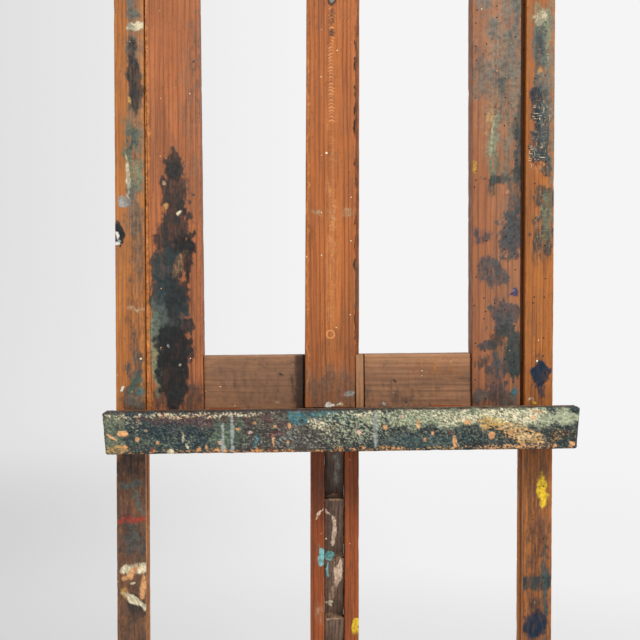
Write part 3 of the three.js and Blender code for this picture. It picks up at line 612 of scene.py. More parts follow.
def make_tray(material):
    (left, right), (bottom, top), (front, back) = TRAY.x, TRAY.z, TRAY.y
    channel_front, channel_back = CHANNEL.y
    floor, rear = CHANNEL.floor, CHANNEL.rear
    outline = [
        (front, bottom), (back, bottom), (back, rear), (channel_back, rear),
        (channel_back, floor), (channel_front, floor), (channel_front, top), (front, top),
    ]

    def place(u, v, s):
        share = (s - left) / (right - left)
        shift = TRAY.draw_in * (top - v) / (top - bottom) * (1 - 2 * share)
        return lean(s + shift, u, v)

    steps = [4, 5, 2, 2, 3, 3, 1.4, 1.05]
    places = stations(*TRAY.ends, 1.15)
    mesh = swept(
        lambda s, a, b: outline, places, place, 2.2, steps, seed=3.0, round_end=2.5, nicks=1.6, surface=crust)
    tray = stand_in("tray", mesh, "carriage", material, "crusted", 60)
    paint_tray(tray)


def make_crossbar(material):
    """The bottom rail, with the housing cut into its front for the mast and the pawl's notch under it."""
    (left, right), (bottom, top) = CROSSBAR.x, CROSSBAR.z
    front, back = RAIL_Y

    def outline_at(s, a, b):
        wall = HOUSING.back if within(HOUSING.x, a, b) else front
        low = NOTCH.top if within(NOTCH.x, a, b) else bottom
        return [
            (front, low), (back, low), (back, top),
            (wall, top), (wall, HOUSING.floor), (front, HOUSING.floor),
        ]

    places = stations(left, right, 3, [*HOUSING.x, *NOTCH.x])
    mesh = swept(outline_at, places, leaning_across, 1.2, 3, seed=11.0, round_end=0.8, nicks=0.8)
    made = stand_in("crossbar", mesh, "carriage", material)
    return painted(made, front, CROSSBAR_PAINT_AND_SHADE)


def make_top_rail(material):
    (left, right), (bottom, top) = TOP_RAIL.x, TOP_RAIL.z
    front, back = RAIL_Y

    def outline_at(s, a, b):
        wall = PASSAGE.back if within(PASSAGE.x, a, b) else front
        return rectangle((wall, back), (bottom, top))

    places = stations(left, right, 7, PASSAGE.x)
    mesh = swept(outline_at, places, leaning_across, seed=13.0, round_end=0.8)
    return stand_in("top_rail", mesh, "carriage", material)


def make_rack(material):
    low, high = box_mm("rack")
    back = high[1]
    ledges = [RACK.first + k * RACK.pitch for k in range(RACK.ledges)]
    noses = [z - RACK.nose_height for z in ledges]
    plain_top = ledges[0] - RACK.pitch / 2

    def front_at(s, a):
        if s <= plain_top:
            return RACK.plain
        k = next((i for i, z in enumerate(ledges) if a < z - 0.1), None)
        if k is None:
            return RACK.root
        if s >= noses[k]:
            return RACK.nose
        start = ledges[k - 1] if k else plain_top
        depth = RACK.root if k else RACK.plain
        return depth + (RACK.nose - depth) * (s - start) / (noses[k] - start)

    def outline_at(s, a, b):
        front = front_at(s, a)
        return rectangle((low[0], high[0]), (front, back))

    places = stations(low[2], high[2], 5, [plain_top, *ledges, *noses], POST_SEEN)
    steps = [1.2, 4, 4, 4]
    mesh = swept(outline_at, places, upright, 0.8, steps, seed=17.0, round_end=0.8, wobble=0.35, nicks=1.4)
    made = stand_in("rack", mesh, "stand", material)
    return painted(made, RACK.root, RACK_PAINT, 8.0)


def make_foot(hand, side, material):
    low, high = box_mm(f"foot_{hand}")
    bottom, top = low[2], FOOT.height
    half = high[1]

    def heights(y):
        near_end = half - abs(y)
        slope = half - FOOT.flat - FOOT.toe
        upper = top - (top - FOOT.nose) * max(0.0, abs(y) - FOOT.flat) / slope
        if near_end < FOOT.toe:
            upper = FOOT.nose - FOOT.toe_drop * (1 - near_end / FOOT.toe) ** 2
        reach = half - FOOT.pad_end
        lower = bottom + FOOT.arch * max(0.0, 1 - (y / reach) ** 2)
        return lower, upper

    def outline_at(s, a, b):
        lower, upper = heights(s)
        return rectangle((lower, upper), (low[0], high[0]))

    places = stations(low[1], half, 8)
    mesh = swept(outline_at, places, lambda u, v, s: (v, s, u), 3.0, 5, seed=20 + side, nicks=1.6, wobble=0.4)
    return stand_in(f"foot_{hand}", mesh, "stand", material)


def make_brace(hand, side, material):
    """A straight bar, cut upright where it meets the stile and level in the foot."""
    low, high = box_mm(f"brace_{hand}")
    stile_back = low[1]
    run = Vector((stile_back - BRACE.foot_y, BRACE.stile_z - BRACE.foot_z)).normalized()
    across = Vector((run.y, -run.x))

    def ends(offset):
        start = Vector((BRACE.foot_y, BRACE.foot_z)) + across * offset
        foot = start + run * ((BRACE.bottom - start.y) / run.y)
        head = start + run * ((stile_back - start.x) / run.x)
        return foot, head

    outline = rectangle((-BRACE.half, BRACE.half), (low[0], high[0]))

    def place(u, v, s):
        foot, head = ends(u)
        point = foot.lerp(head, s / 1000)
        return (v, point.x, point.y)

    mesh = swept(lambda s, a, b: outline, stations(0, 1000, 14), place, 2.0, seed=24 + side)
    made = stand_in(f"brace_{hand}", mesh, "stand", material)
    counterbore(made, (low[0] + high[0]) / 2)


def counterbore(brace, x):
    """Cuts the round recess for a screw's head into a brace's back."""
    seat, end = COUNTERBORE.seat, COUNTERBORE.end
    centre = Matrix.Translation(Vector((x, (seat + end) / 2, COUNTERBORE.z)) * MM)
    turn = centre @ Matrix.Rotation(math.pi / 2, 4, "X")
    mesh = bmesh.new()
    radius, depth = COUNTERBORE.radius * MM, (end - seat) * MM
    bmesh.ops.create_cone(
        mesh, cap_ends=True, segments=32, radius1=radius, radius2=radius, depth=depth, matrix=turn)
    data = bpy.data.meshes.new("cutter")
    mesh.to_mesh(data)
    mesh.free()
    cutter = in_scene("cutter", data)
    brace.modifiers.new("cut", "BOOLEAN").object = cutter
    done = brace.evaluated_get(bpy.context.evaluated_depsgraph_get())
    brace.data = bpy.data.meshes.new_from_object(done)
    brace.modifiers.clear()
    bpy.data.objects.remove(cutter)


def beveled(node, material, width=1.2):
    """A CAD node whose shape is right: its arrises are rounded and it gets its material."""
    made = NODES[node]
    made.data.materials.clear()
    made.data.materials.append(material)
    weld = made.modifiers.new("weld", "WELD")
    weld.merge_threshold = 1e-6
    flat = made.modifiers.new("flat", "DECIMATE")
    flat.decimate_type = "DISSOLVE"
    flat.angle_limit = math.radians(1)
    bevel = made.modifiers.new("arris", "BEVEL")
    bevel.width = width * MM
    bevel.segments = 3
    bevel.limit_method = "ANGLE"
    bevel.angle_limit = math.radians(40)
    for face in made.data.polygons:
        face.use_smooth = True
    return made


# ---------------------------------------------------------------- materials and pieces
# Each timber's tones: light, middle, latewood and grime.
STILE_PINE = ((185, 118, 58), (156, 94, 43), (98, 54, 26), (83, 64, 49))
RIGHT_PINE = ((178, 109, 46), (149, 86, 34), (92, 49, 20), (78, 58, 42))
BOARD_PINE = ((176, 106, 62), (150, 86, 48), (90, 50, 28), (80, 60, 48))
PINKED_PINE = ((160, 102, 64), (136, 82, 50), (90, 54, 36), (84, 72, 60))
MAST_PINE = ((178, 104, 48), (151, 83, 36), (88, 45, 20), (82, 57, 42))
GREY_PINE = ((160, 116, 82), (136, 96, 68), (92, 60, 42), (76, 60, 50))
KEEPER_PINE = ((168, 122, 84), (146, 104, 70), (102, 70, 46), (92, 76, 62))
RED_WOOD = ((150, 78, 34), (125, 57, 23), (82, 37, 17), (54, 34, 25))
DARK_WOOD = ((112, 88, 72), (84, 63, 51), (50, 37, 31), (36, 30, 27))

# The paint on each timber, as daubs for Coat; a few of the daubs are painted shade or a painted highlight,
# marked where they stand.
STILE_LEFT_PAINT = [
    (-222, 640, 24, 180, "murk", 80, 20, 10), (-217, 1130, 10, 190, "haze", 50, 25, 16),
    (-217, 930, 11, 110, "murk", 45, 25, 18), (-221, 1236, 7, 22, "slate", 55, 25, 25),
    (-216.4, 1210.6, 10.2, 4.6, "cream", 95, 22, 6, 4), (-221, 1209.6, 5.6, 4.2, "slate", 42, 30, 12),
    (-220, 1222, 9, 4, "slate", 70, 35, 20), (-221, 1190, 8, 22, "slate", 60, 20, 30),
    (-219, 1154, 7.6, 40, "charcoal", 95, 20, 10, 2), (-225, 1131, 2, 4, "ochre", 90, 30, 10, 10),
    (-223, 1074, 11, 34, "green", 62, 35, 30, 4), (-221, 1086, 7, 12, "teal", 65, 35, 25),
    (-217, 1052, 7, 20, "sage", 75, 30, 25, 8), (-226, 1046, 2, 19, "cream", 90, 35, 15, 3),
    (-219, 1070, 2.2, 7, "red", 60, 35, 15, 20), (-222, 1034, 8, 8, "slate", 60, 40, 30),
    (-231, 1021, 6, 6, "grey", 90, 35, 12), (-235.6, 984.5, 5.4, 12.6, "soot", 100, 20, 2, 4),
    (-238.4, 984, 1.7, 5, "white", 95, 25, 0, 24), (-236.8, 974.4, 2.7, 1.8, "white", 90, 25, 0, -20),
    (-234.2, 977, 1.5, 1.7, "grey", 85, 20, 0), (-224, 1004, 9, 22, "slate", 32, 30, 35),
    (-221, 905, 9, 2.4, "cream", 35, 40, 35, -4), (-219, 838, 9, 26, "teal", 55, 35, 30),
    (-217, 816, 9, 14, "green", 75, 35, 22), (-219, 804, 11, 9, "slate", 65, 35, 25),
    (-212, 812, 3, 6, "turquoise", 50, 35, 20), (-233, 816, 1.2, 5, "white", 95, 20, 0, -22),
    (-225, 731, 15, 12, "charcoal", 70, 35, 15), (-221.5, 710.5, 11, 4.2, "slate", 85, 35, 12),
    (-217.5, 695, 2.8, 18, "slate", 85, 30, 12, 23), (-231, 680, 7, 7, "maroon", 60, 40, 20),
    (-222.5, 672, 17, 2.4, "red", 90, 30, 10), (-222, 648, 13, 20, "charcoal", 80, 30, 20),
    (-222, 648, 11, 19, "slate", 55, 30, 30), (-219, 576, 9, 14, "charcoal", 85, 35, 15),
    (-221, 618, 17, 5.4, "cream", 75, 35, 18), (-232, 618, 5.6, 5, "cream", 95, 30, 6),
    (-210, 618, 5.2, 5, "cream", 95, 30, 6), (-225, 612.5, 11.5, 2.6, "orange", 95, 25, 6, 43),
    (-223, 603, 1.7, 1.9, "cream", 95, 20, 0), (-211.5, 598, 3, 14, "orange", 95, 25, 6, -8.5),
    (-231, 592, 3.4, 7, "ochre", 75, 35, 15, 12), (-219, 582.5, 14, 3.2, "cream", 95, 38, 10, -34),
]

STILE_RIGHT_PAINT = [
    (222, 600, 20, 180, "murk", 52, 25, 16), (236, 1140, 6, 100, "haze", 70, 25, 14),
    (224, 1222, 8, 13, "sage", 75, 30, 16), (229, 1196, 4.6, 27, "sage", 80, 22, 14, 2),
    (223, 1190, 7.4, 27, "slate", 90, 24, 14), (222, 1188, 4.5, 22, "deep", 60, 30, 24),
    (223, 1223, 6, 8, "cream", 50, 35, 20), (224.5, 1163, 2.4, 8, "ochre", 60, 50, 20),
    (225, 1150, 7, 14, "slate", 80, 30, 16), (223, 1126, 10, 23, "navy", 95, 20, 10),
    (227, 1100, 8.4, 30, "navy", 92, 20, 12), (223.5, 1080, 11, 20, "navy", 85, 30, 14),
    (226, 1084, 8, 22, "teal", 45, 30, 24), (229, 1116, 5, 40, "slate", 60, 30, 20),
    (231, 1056, 4.5, 8, "deep", 75, 30, 16), (230, 1024, 12, 15, "deep", 78, 26, 16),
    (229, 985, 12.6, 29, "deep", 78, 24, 16), (233, 1006, 5, 26, "sage", 55, 30, 24),
    (225, 831, 9, 12, "ink", 98, 28, 5), (224, 845, 7, 9, "ink", 45, 35, 36),
    (229, 814, 6, 11, "ink", 60, 40, 34), (220, 800, 2.2, 1.8, "yellow", 95, 15, 0),
    (216, 804, 3, 2, "cream", 60, 40, 20), (229, 702, 5.4, 18, "yellow", 98, 20, 6, 2),
    (224, 600, 18, 9, "deep", 92, 25, 12), (232, 600, 3.2, 66, "teal", 75, 25, 20),
    (220, 553, 12, 16, "ink", 97, 22, 8), (226, 640, 10, 26, "scuff", 45, 35, 30),
    (222, 575, 12, 12, "charcoal", 50, 35, 30),
]

BOARD_LEFT_PAINT_AND_HIGHLIGHT = [
    (-156, 1120, 14, 110, "haze", 30, 30, 22), (-150, 1160, 8, 70, "scuff", 34, 30, 30, 2),
    (-160, 900, 20, 90, "scuff", 30, 30, 25), (-172, 806, 34, 22, "murk", 70, 25, 18),
    (-177, 1060, 9.5, 15, "charcoal", 88, 24, 8), (-177, 1034, 14, 26, "charcoal", 86, 24, 10, -4),
    (-176, 985, 20, 36, "charcoal", 93, 26, 9, -6), (-167, 965, 12, 28, "soot", 88, 34, 8, -10),
    (-168, 922, 9, 22, "soot", 80, 40, 10, -8), (-184, 946, 16, 26, "deep", 90, 26, 8),
    (-184, 908, 19, 40, "deep", 97, 18, 4, -2), (-176, 922, 10, 32, "charcoal", 88, 24, 8, -4),
    (-197, 858, 7, 48, "sage", 88, 18, 10, 3), (-192, 886, 8, 30, "slate", 75, 22, 10),
    (-178, 860, 18, 27, "soot", 98, 22, 4), (-180, 828, 16, 22, "soot", 97, 22, 5, 6),
    (-177, 806, 8, 16, "charcoal", 96, 28, 6, -6), (-163, 884, 9, 7, "charcoal", 88, 40, 12, -30),
    (-161, 852, 4, 10, "charcoal", 70, 45, 20), (-172, 950, 5, 14, "orange", 40, 40, 22, -20),
    (-180, 1012, 9, 4, "scuff", 65, 45, 12, -30), (-186, 1016, 2.4, 4, "ochre", 80, 40, 10),
    (-171, 1009, 1.4, 1.8, "cream", 90, 20, 0), (-188, 1042, 1.3, 2.2, "dust", 90, 30, 0, 10),
    (-184, 864, 1.2, 1.2, "grey", 90, 20, 0), (-172, 842, 1, 1.2, "cream", 80, 20, 0),
    # The bare line at x -207.4 is a painted highlight along the edge of the paler strip.
    (-206, 950, 2.6, 260, "honey", 75, 15, 8), (-207.4, 1000, 0.9, 300, "bare", 95, 10, 3),
]

BOARD_RIGHT_PAINT = [
    (180, 1190, 32, 100, "dust", 34, 26, 18), (190, 1146, 24, 92, "haze", 68, 20, 26),
    (192, 1200, 20, 70, "slate", 38, 30, 22), (166, 1224, 10, 20, "slate", 65, 40, 22, 20),
    (200, 1232, 9, 30, "teal", 50, 40, 24), (166, 1158, 18, 26, "slate", 60, 40, 24, 10),
    (184, 1146, 9, 30, "charcoal", 35, 40, 30), (156, 1176, 10, 20, "scuff", 45, 40, 25),
    (173, 1084, 5.6, 42, "sage", 55, 34, 28, -3), (172, 1092, 1.6, 26, "pale", 60, 30, 20, -6),
    (170, 1112, 3, 14, "ochre", 55, 40, 20, -8), (176, 1060, 9, 12, "green", 40, 40, 25, -8),
    (176, 1046, 11, 5, "deep", 85, 55, 14), (172, 1036, 5, 7, "deep", 60, 50, 20),
    (152, 1062, 4.4, 7, "mustard", 80, 35, 12), (188, 1030, 4, 4, "red", 45, 35, 10),
    (188, 1031, 2.6, 3, "orange", 60, 35, 10), (203, 1090, 7, 50, "deep", 90, 26, 14),
    (200, 1010, 9, 46, "deep", 72, 32, 16), (190, 1014, 11, 34, "slate", 30, 40, 24),
    (194, 988, 14, 28, "dusk", 92, 42, 13, -8), (164, 982, 14, 8, "dusk", 62, 50, 18, 20),
    (152, 990, 6, 5, "dusk", 60, 46, 18), (174, 946, 13, 20, "dusk", 84, 36, 14, 30),
    (199, 922, 5, 6.2, "purple", 95, 20, 3), (197, 924, 1.6, 1.2, "grey", 70, 20, 0),
    (186, 896, 14, 22, "dusk", 92, 40, 12), (181, 872, 11, 14, "soot", 80, 40, 14, -20),
    (168, 864, 11, 5, "dusk", 75, 44, 16, 20), (198, 852, 11, 30, "deep", 95, 24, 8),
    (188, 858, 13, 28, "deep", 45, 36, 20), (180, 822, 13, 26, "dusk", 80, 40, 16, 14),
    (196, 806, 9, 16, "slate", 60, 36, 16), (164, 846, 8, 9, "deep", 70, 46, 14),
    (162, 806, 10, 7, "slate", 65, 40, 18), (198, 812, 4.4, 4, "turquoise", 75, 30, 5),
    (188, 930, 22, 100, "haze", 16, 30, 20), (178, 802, 30, 16, "murk", 60, 30, 20),
]

MAST_PAINT_AND_SHADE = [
    (-4.4, 1239, 4.6, 5.4, "burn", 85, 20, 5), (-4.4, 1240, 2.4, 2.8, "grey", 75, 20, 5),
    (-4.2, 1222, 2.6, 9, "burn", 75, 40, 15), (-3.8, 1204, 3.2, 5.5, "burn", 70, 40, 15),
    (-18, 1214, 5, 14, "scuff", 35, 35, 40), (-4.2, 1060, 4.5, 130, "bare", 26, 30, 35),
    (-4.8, 960, 6.5, 92, "bare", 34, 25, 25), (-21, 1009, 6, 4, "dust", 60, 40, 30),
    (-2.5, 1008, 4, 4.5, "dust", 45, 40, 30), (14, 1009, 6.5, 5, "dust", 60, 40, 30),
    (-4, 832, 44, 40, "scuff", 26, 20, 6), (-4, 806, 44, 24, "scuff", 26, 25, 6),
    (-4, 812, 44, 30, "haze", 22, 25, 10), (-6.8, 798.2, 5.4, 2.2, "white", 90, 45, 12, 8),
    (4.6, 798.6, 4.8, 2, "cream", 85, 45, 12, 12), (14, 810, 6.5, 2.4, "grey", 75, 40, 15, 6),
    # The umber daub at x 24.6 is painted shade down the rebate at the mast's right front edge.
    (-30.5, 1000, 1.6, 260, "honey", 60, 30, 15), (24.6, 1060, 3.2, 340, "umber", 100, 5, 4),
    (24, 930, 3, 24, "slate", 50, 40, 25),
]

CROSSBAR_PAINT_AND_SHADE = [
    (-95, 812, 60, 50, "murk", 25, 40, 35), (118, 838, 34, 14, "honey", 35, 30, 30),
    (60, 806, 60, 14, "murk", 35, 40, 35), (90, 822, 70, 26, "murk", 28, 40, 20),
    (-84, 818, 50, 22, "murk", 22, 40, 20), (-76, 806, 1.2, 1.2, "dust", 90, 20, 0),
    (48, 828, 1.1, 1.1, "umber", 90, 20, 0), (66, 824, 1.2, 1, "umber", 90, 20, 0),
    # The umber daubs at x -38 and -37 are painted shadow: the mast's shadow on the crossbar beside it,
    # darkest next to the mast.
    (-60, 832, 1.2, 1.2, "umber", 90, 20, 0), (-38, 824, 9.5, 56, "umber", 42, 10, 5),
    (-37, 824, 6, 56, "umber", 62, 8, 3), (54, 800, 2.6, 1.2, "white", 90, 30, 0),
    (-64, 799, 4, 1.2, "dust", 70, 30, 0),
]

POST_PAINT = [
    (-19, 700, 6, 30, "murk", 35, 35, 30), (18, 590, 5, 30, "scuff", 35, 35, 30),
    (-17, 671.5, 7.6, 1.4, "peach", 95, 20, 4, 48.6), (-15.4, 622.5, 3.1, 14.5, "aqua", 92, 30, 10),
    (-17, 556, 4, 12, "dust", 50, 35, 25), (24.5, 545.5, 4, 8.4, "yellow", 95, 30, 8),
]

RACK_PAINT = [
    (0, 688, 11, 1.8, "dust", 75, 40, 15), (0, 620, 11, 1.8, "dust", 75, 40, 15),
    (0, 552, 11, 1.8, "dust", 75, 40, 15), (2.4, 719, 3.4, 20, "grey", 55, 35, 30),
    (-7.5, 671.5, 7.6, 1.8, "peach", 95, 20, 4, -51), (-1.2, 659, 7.8, 2.3, "peach", 95, 20, 4, -75.6),
    (-1.2, 642.7, 10, 3.2, "peach", 95, 25, 6, 79), (-5.5, 621, 6, 2.8, "aqua", 92, 30, 8),
    (-8.5, 606.5, 1.8, 7, "aqua", 80, 30, 12), (4.6, 605, 14, 5, "peach", 92, 30, 12, 79),
    (-1.6, 579, 15.5, 4.8, "dust", 70, 35, 30, 71.6), (-6, 566, 4.4, 3.2, "cream", 85, 35, 10),
]

# The tray's paint: its ground coats, what only caught on the high places, and single marks.
TRAY_BASE = [
    (-170, 775, 70, 30, "deep", 85, 30, 5), (-60, 775, 70, 30, "murk", 75, 30, 5),
    (100, 770, 90, 26, "charcoal", 85, 30, 5), (150, 792, 120, 12, "sage", 75, 30, 5),
    (-140, 791, 85, 6.5, "maroon", 75, 35, 10), (-80, 786, 45, 8, "maroon", 55, 40, 10, -4),
    (-235, 776, 13, 22, "sage", 45, 40, 10), (-178, 778, 34, 12, "navy", 65, 45, 15),
    (-152, 768, 24, 10, "navy", 75, 45, 15), (-92, 774, 34, 18, "charcoal", 65, 40, 10),
    (-116, 776, 15, 20, "green", 60, 40, 10), (-24, 792, 34, 8, "teal", 80, 35, 10),
    (-42, 791, 10, 8, "turquoise", 80, 40, 10, -30), (-18, 796, 12, 3, "turquoise", 45, 40, 10),
    (-86.5, 768, 2, 7, "turquoise", 70, 40, 10), (0, 768, 44, 11, "charcoal", 55, 40, 10),
    (72, 771, 34, 10, "navy", 60, 45, 15), (128, 772, 40, 9, "navy", 65, 45, 15),
    (90, 764, 50, 7, "teal", 55, 45, 15), (238, 770, 20, 9, "charcoal", 92, 35, 10),
    (240, 790, 18, 9, "pale", 70, 30, 5),
]
TRAY_SPECKLE = [
    (0, 778, 270, 30, "slate", 45, 30, 50), (0, 778, 270, 30, "scuff", 50, 30, 36),
    (60, 780, 220, 26, "sage", 50, 30, 38), (-190, 765, 60, 12, "sage", 45, 30, 34),
    (-226, 788, 24, 10, "pale", 60, 35, 42), (-170, 796, 80, 3.4, "cream", 90, 30, 55),
    (-176, 795, 60, 2.6, "orange", 80, 30, 30), (-104, 796.5, 36, 2.6, "cream", 85, 30, 45),
    (-118, 772, 24, 18, "sage", 50, 35, 42), (-50, 770, 50, 14, "grey", 55, 35, 34),
    (-18, 784, 22, 7.5, "cream", 85, 30, 62), (10, 778, 46, 20, "pale", 75, 30, 50),
    (30, 792, 60, 8, "pale", 90, 30, 62), (60, 796, 70, 4, "cream", 85, 30, 55),
    (96, 789, 60, 9, "cream", 75, 30, 50), (100, 788, 66, 9, "pale", 80, 30, 56),
    (186, 790, 84, 12, "pale", 85, 25, 70), (180, 791, 80, 10, "cream", 90, 25, 68),
    (236, 789, 22, 10, "pale", 92, 25, 80), (90, 765, 80, 8, "slate", 60, 35, 42),
    (162, 785, 16, 6.5, "yellow", 42, 30, 85, -10), (158, 784, 18, 7, "ochre", 80, 30, 80, -12),
    (192, 773, 34, 8, "ochre", 90, 30, 82, -14), (196, 772, 32, 6, "cream", 45, 30, 50, -14),
    (234, 768, 18, 8, "ochre", 70, 35, 38), (-232, 760, 18, 5, "ochre", 80, 35, 60),
    (-150, 758, 90, 4, "ochre", 60, 35, 38), (60, 757, 210, 3.2, "ochre", 75, 35, 50),
    (-60, 756.5, 190, 2.4, "bare", 90, 35, 62), (190, 757, 64, 3.2, "orange", 75, 35, 60),
]
TRAY_MARKS = [
    (-226.5, 777, 5.2, 3.4, "orange", 100, 10, 0), (-238, 773.5, 6.5, 1.2, "orange", 95, 12, 0, -33),
    (-212, 771, 2, 1.9, "orange", 90, 20, 0), (-202, 780, 1.5, 1.4, "dust", 90, 20, 0),
    (-190, 767, 1.7, 2.2, "orange", 85, 20, 0, 20), (-196, 757, 1.2, 5, "red", 75, 25, 0, -8),
    (-224, 763, 3, 1.7, "bare", 90, 25, 0), (-176, 757, 3.4, 3, "cream", 90, 25, 0, 40),
    (-163, 771, 1, 5, "cream", 70, 30, 10), (-159, 763, 1.2, 3, "cream", 70, 30, 0, 30),
    (-147, 760, 2.4, 2.6, "bare", 85, 30, 0, -30), (-139, 762, 1.6, 2.6, "orange", 85, 20, 0, 20),
    (-125, 766, 2, 1.9, "pink", 90, 20, 0), (-93, 777, 2.2, 1.7, "pink", 95, 20, 0, 25),
    (-88, 787, 1.6, 1.6, "orange", 90, 20, 0), (-106, 781, 1.8, 1.2, "bare", 80, 20, 0),
    (-68.5, 768, 1.1, 8, "orange", 90, 20, 5, 3), (-70, 758, 1, 4, "red", 80, 20, 5),
    (-66, 783, 2, 1.5, "orange", 85, 25, 0, 20), (-51.5, 783.5, 1.5, 3.2, "orange", 95, 20, 0),
    (-53, 766, 1.4, 1.4, "bare", 85, 20, 0), (-70, 775, 10, 3.4, "maroon", 70, 40, 10),
    (-121.6, 775, 1.3, 17, "grey", 85, 25, 5), (-121.2, 762, 2, 3.6, "grey", 80, 20, 0),
    (-111.9, 777, 1.8, 20, "grey", 85, 25, 5), (-111.4, 760, 2.2, 4, "grey", 80, 20, 0),
    (39.5, 777, 2.2, 21, "grey", 85, 20, 5), (22, 776, 2.2, 2.6, "pink", 80, 30, 0),
    (50, 781, 2.8, 2.4, "orange", 85, 30, 0, -15), (85, 784, 1.7, 5, "orange", 85, 25, 0),
    (67, 792, 2.4, 1.5, "pink", 80, 30, 0), (100, 774, 1.7, 2.2, "orange", 85, 20, 0),
    (123, 766, 1.9, 5, "orange", 90, 25, 0), (118, 774, 1.2, 1.4, "red", 70, 20, 0),
    (92, 767, 1.6, 2, "bare", 85, 20, 0), (163, 771, 3.6, 3.3, "orange", 95, 25, 0, 20),
    (137, 785, 4.2, 3, "orange", 85, 25, 0, -20), (183, 774, 2.4, 2.8, "orange", 80, 30, 0),
    (207, 789, 2.6, 2.4, "orange", 75, 30, 0), (212, 795, 7, 1.3, "orange", 70, 30, 10),
    (249, 761, 3.4, 2.2, "orange", 90, 25, 0, -30),
]


def spread_out(daubs):
    """Each daub as its place with its turn, its paint, and its shares as numbers from 0 to 1."""
    for x, z, wide, high, paint, *rest in daubs:
        cover, ragged, last, turn = (*rest, 0)[:4]
        yield (x, z, wide, high, turn), paint, cover / 100, ragged / 100, last / 100


class Coat:
    """Paint laid over a timber point by point: colour and cover arrays over its mesh.

    A daub is (x, z, half width, half height, paint, cover, ragged, dry) and, if it isn't level, its turn in
    degrees. Cover, ragged and dry are in per cent: ragged is how far its edge strays, as a share of its size,
    and dry is how much of the timber shows through it.
    """

    def __init__(self, x, y, z):
        self.x, self.z = x, z
        self.shown = np.ones(len(x))
        points = list(zip(x, y, z))

        def field(size, octaves, shift, flat=1.0):
            return np.array([
                noise.fractal(Vector((px / size + shift, py / size, pz / size * flat)), 0.6, 2.0, octaves)
                for px, py, pz in points])

        self.edge = 0.75 * field(10, 4, 3.0, 0.6) + 0.22 * field(2.6, 2, 9.0, 0.6)
        self.crumb = 0.5 * field(3.2, 2, 21.0, 1.5) + 0.9 * field(1.6, 2, 5.0, 1.3)
        self.streak = 0.8 * field(2.6, 3, 77.0, 0.14) + 0.3 * field(9, 3, 93.0, 0.7)
        self.tone = field(5, 3, 14.0, 1.4)
        self.warp_x = 2.6 * field(14, 2, 30.0) + 1.0 * field(4, 1, 41.0)
        self.warp_z = 3.0 * field(14, 2, 55.0) + 1.0 * field(4, 1, 63.0)
        self.colour = np.zeros((len(x), 3))
        self.cover = np.zeros(len(x))

    def area(self, x, z, wide, high, turn, sway=1.0):
        angle = math.radians(turn)
        dx, dz = self.x + self.warp_x * sway - x, self.z + self.warp_z * sway - z
        along = (dx * math.cos(angle) + dz * math.sin(angle)) / wide
        across = (dz * math.cos(angle) - dx * math.sin(angle)) / high
        return 1 - np.hypot(along, across)

    def put(self, share, paint):
        share = np.clip(share, 0, 1) * self.shown
        shade = np.array(PAINTS[paint][:3]) * (1 - 0.38 * np.clip(self.tone * 2.2 + 0.2, 0, 1))[:, None]
        self.colour = self.colour * (1 - share)[:, None] + shade * share[:, None]
        self.cover = self.cover * (1 - share) + share

    def lay(self, daubs, sway=1.0):
        for (x, z, wide, high, turn), paint, cover, ragged, dry in spread_out(daubs):
            inside = self.area(x, z, wide * 1.12, high * 1.08, turn, sway)
            inside = inside + 1.8 * ragged * self.edge + 1.6 * dry * self.streak
            soft = 0.14 + 1.3 * dry
            kept = 1 - min(0.8, 3.2 * dry) * np.clip(self.streak * 2.2 + 0.3, 0, 1)
            self.put(cover * kept * np.clip(inside / soft + 0.3, 0, 1), paint)

    def scumble(self, strokes, relief):
        """Paint that caught only the high places. A stroke is a daub that has how much it caught for dry."""
        for place, paint, cover, ragged, caught in spread_out(strokes):
            inside = self.area(*place) + 1.6 * ragged * self.edge
            level = 0.75 - 1.05 * caught - 0.25 * np.clip(inside, 0, 1)
            mask = np.clip((self.crumb + 0.5 * (relief - 0.5) - level) / 0.14, 0, 1)
            self.put(cover * mask * np.clip(inside / 0.2, 0, 1), paint)

    def keep(self, data):
        """Saves the paint as the attributes that the materials take."""
        colour = self.colour / np.maximum(self.cover, 0.001)[:, None]
        layer = data.color_attributes.new("paint", "FLOAT_COLOR", "POINT")
        layer.data.foreach_set("color", np.column_stack([colour, np.ones(len(colour))]).ravel())
        data.attributes.new("cover", "FLOAT", "POINT").data.foreach_set("value", self.cover)


def mesh_places(data):
    """A mesh's points as x, y and z arrays in millimetres."""
    spots = np.empty(len(data.vertices) * 3)
    data.vertices.foreach_get("co", spots)
    return spots.reshape(-1, 3).T / MM


def painted(made, front, daubs, reach=3.0):
    """Lays daubs over a timber's front, as far back as reach."""
    x, y, z = mesh_places(made.data)
    coat = Coat(x, y, z)
    coat.shown = np.clip(1.5 - (y - front) / reach, 0, 1)
    coat.lay(daubs)
    coat.keep(made.data)
    return made


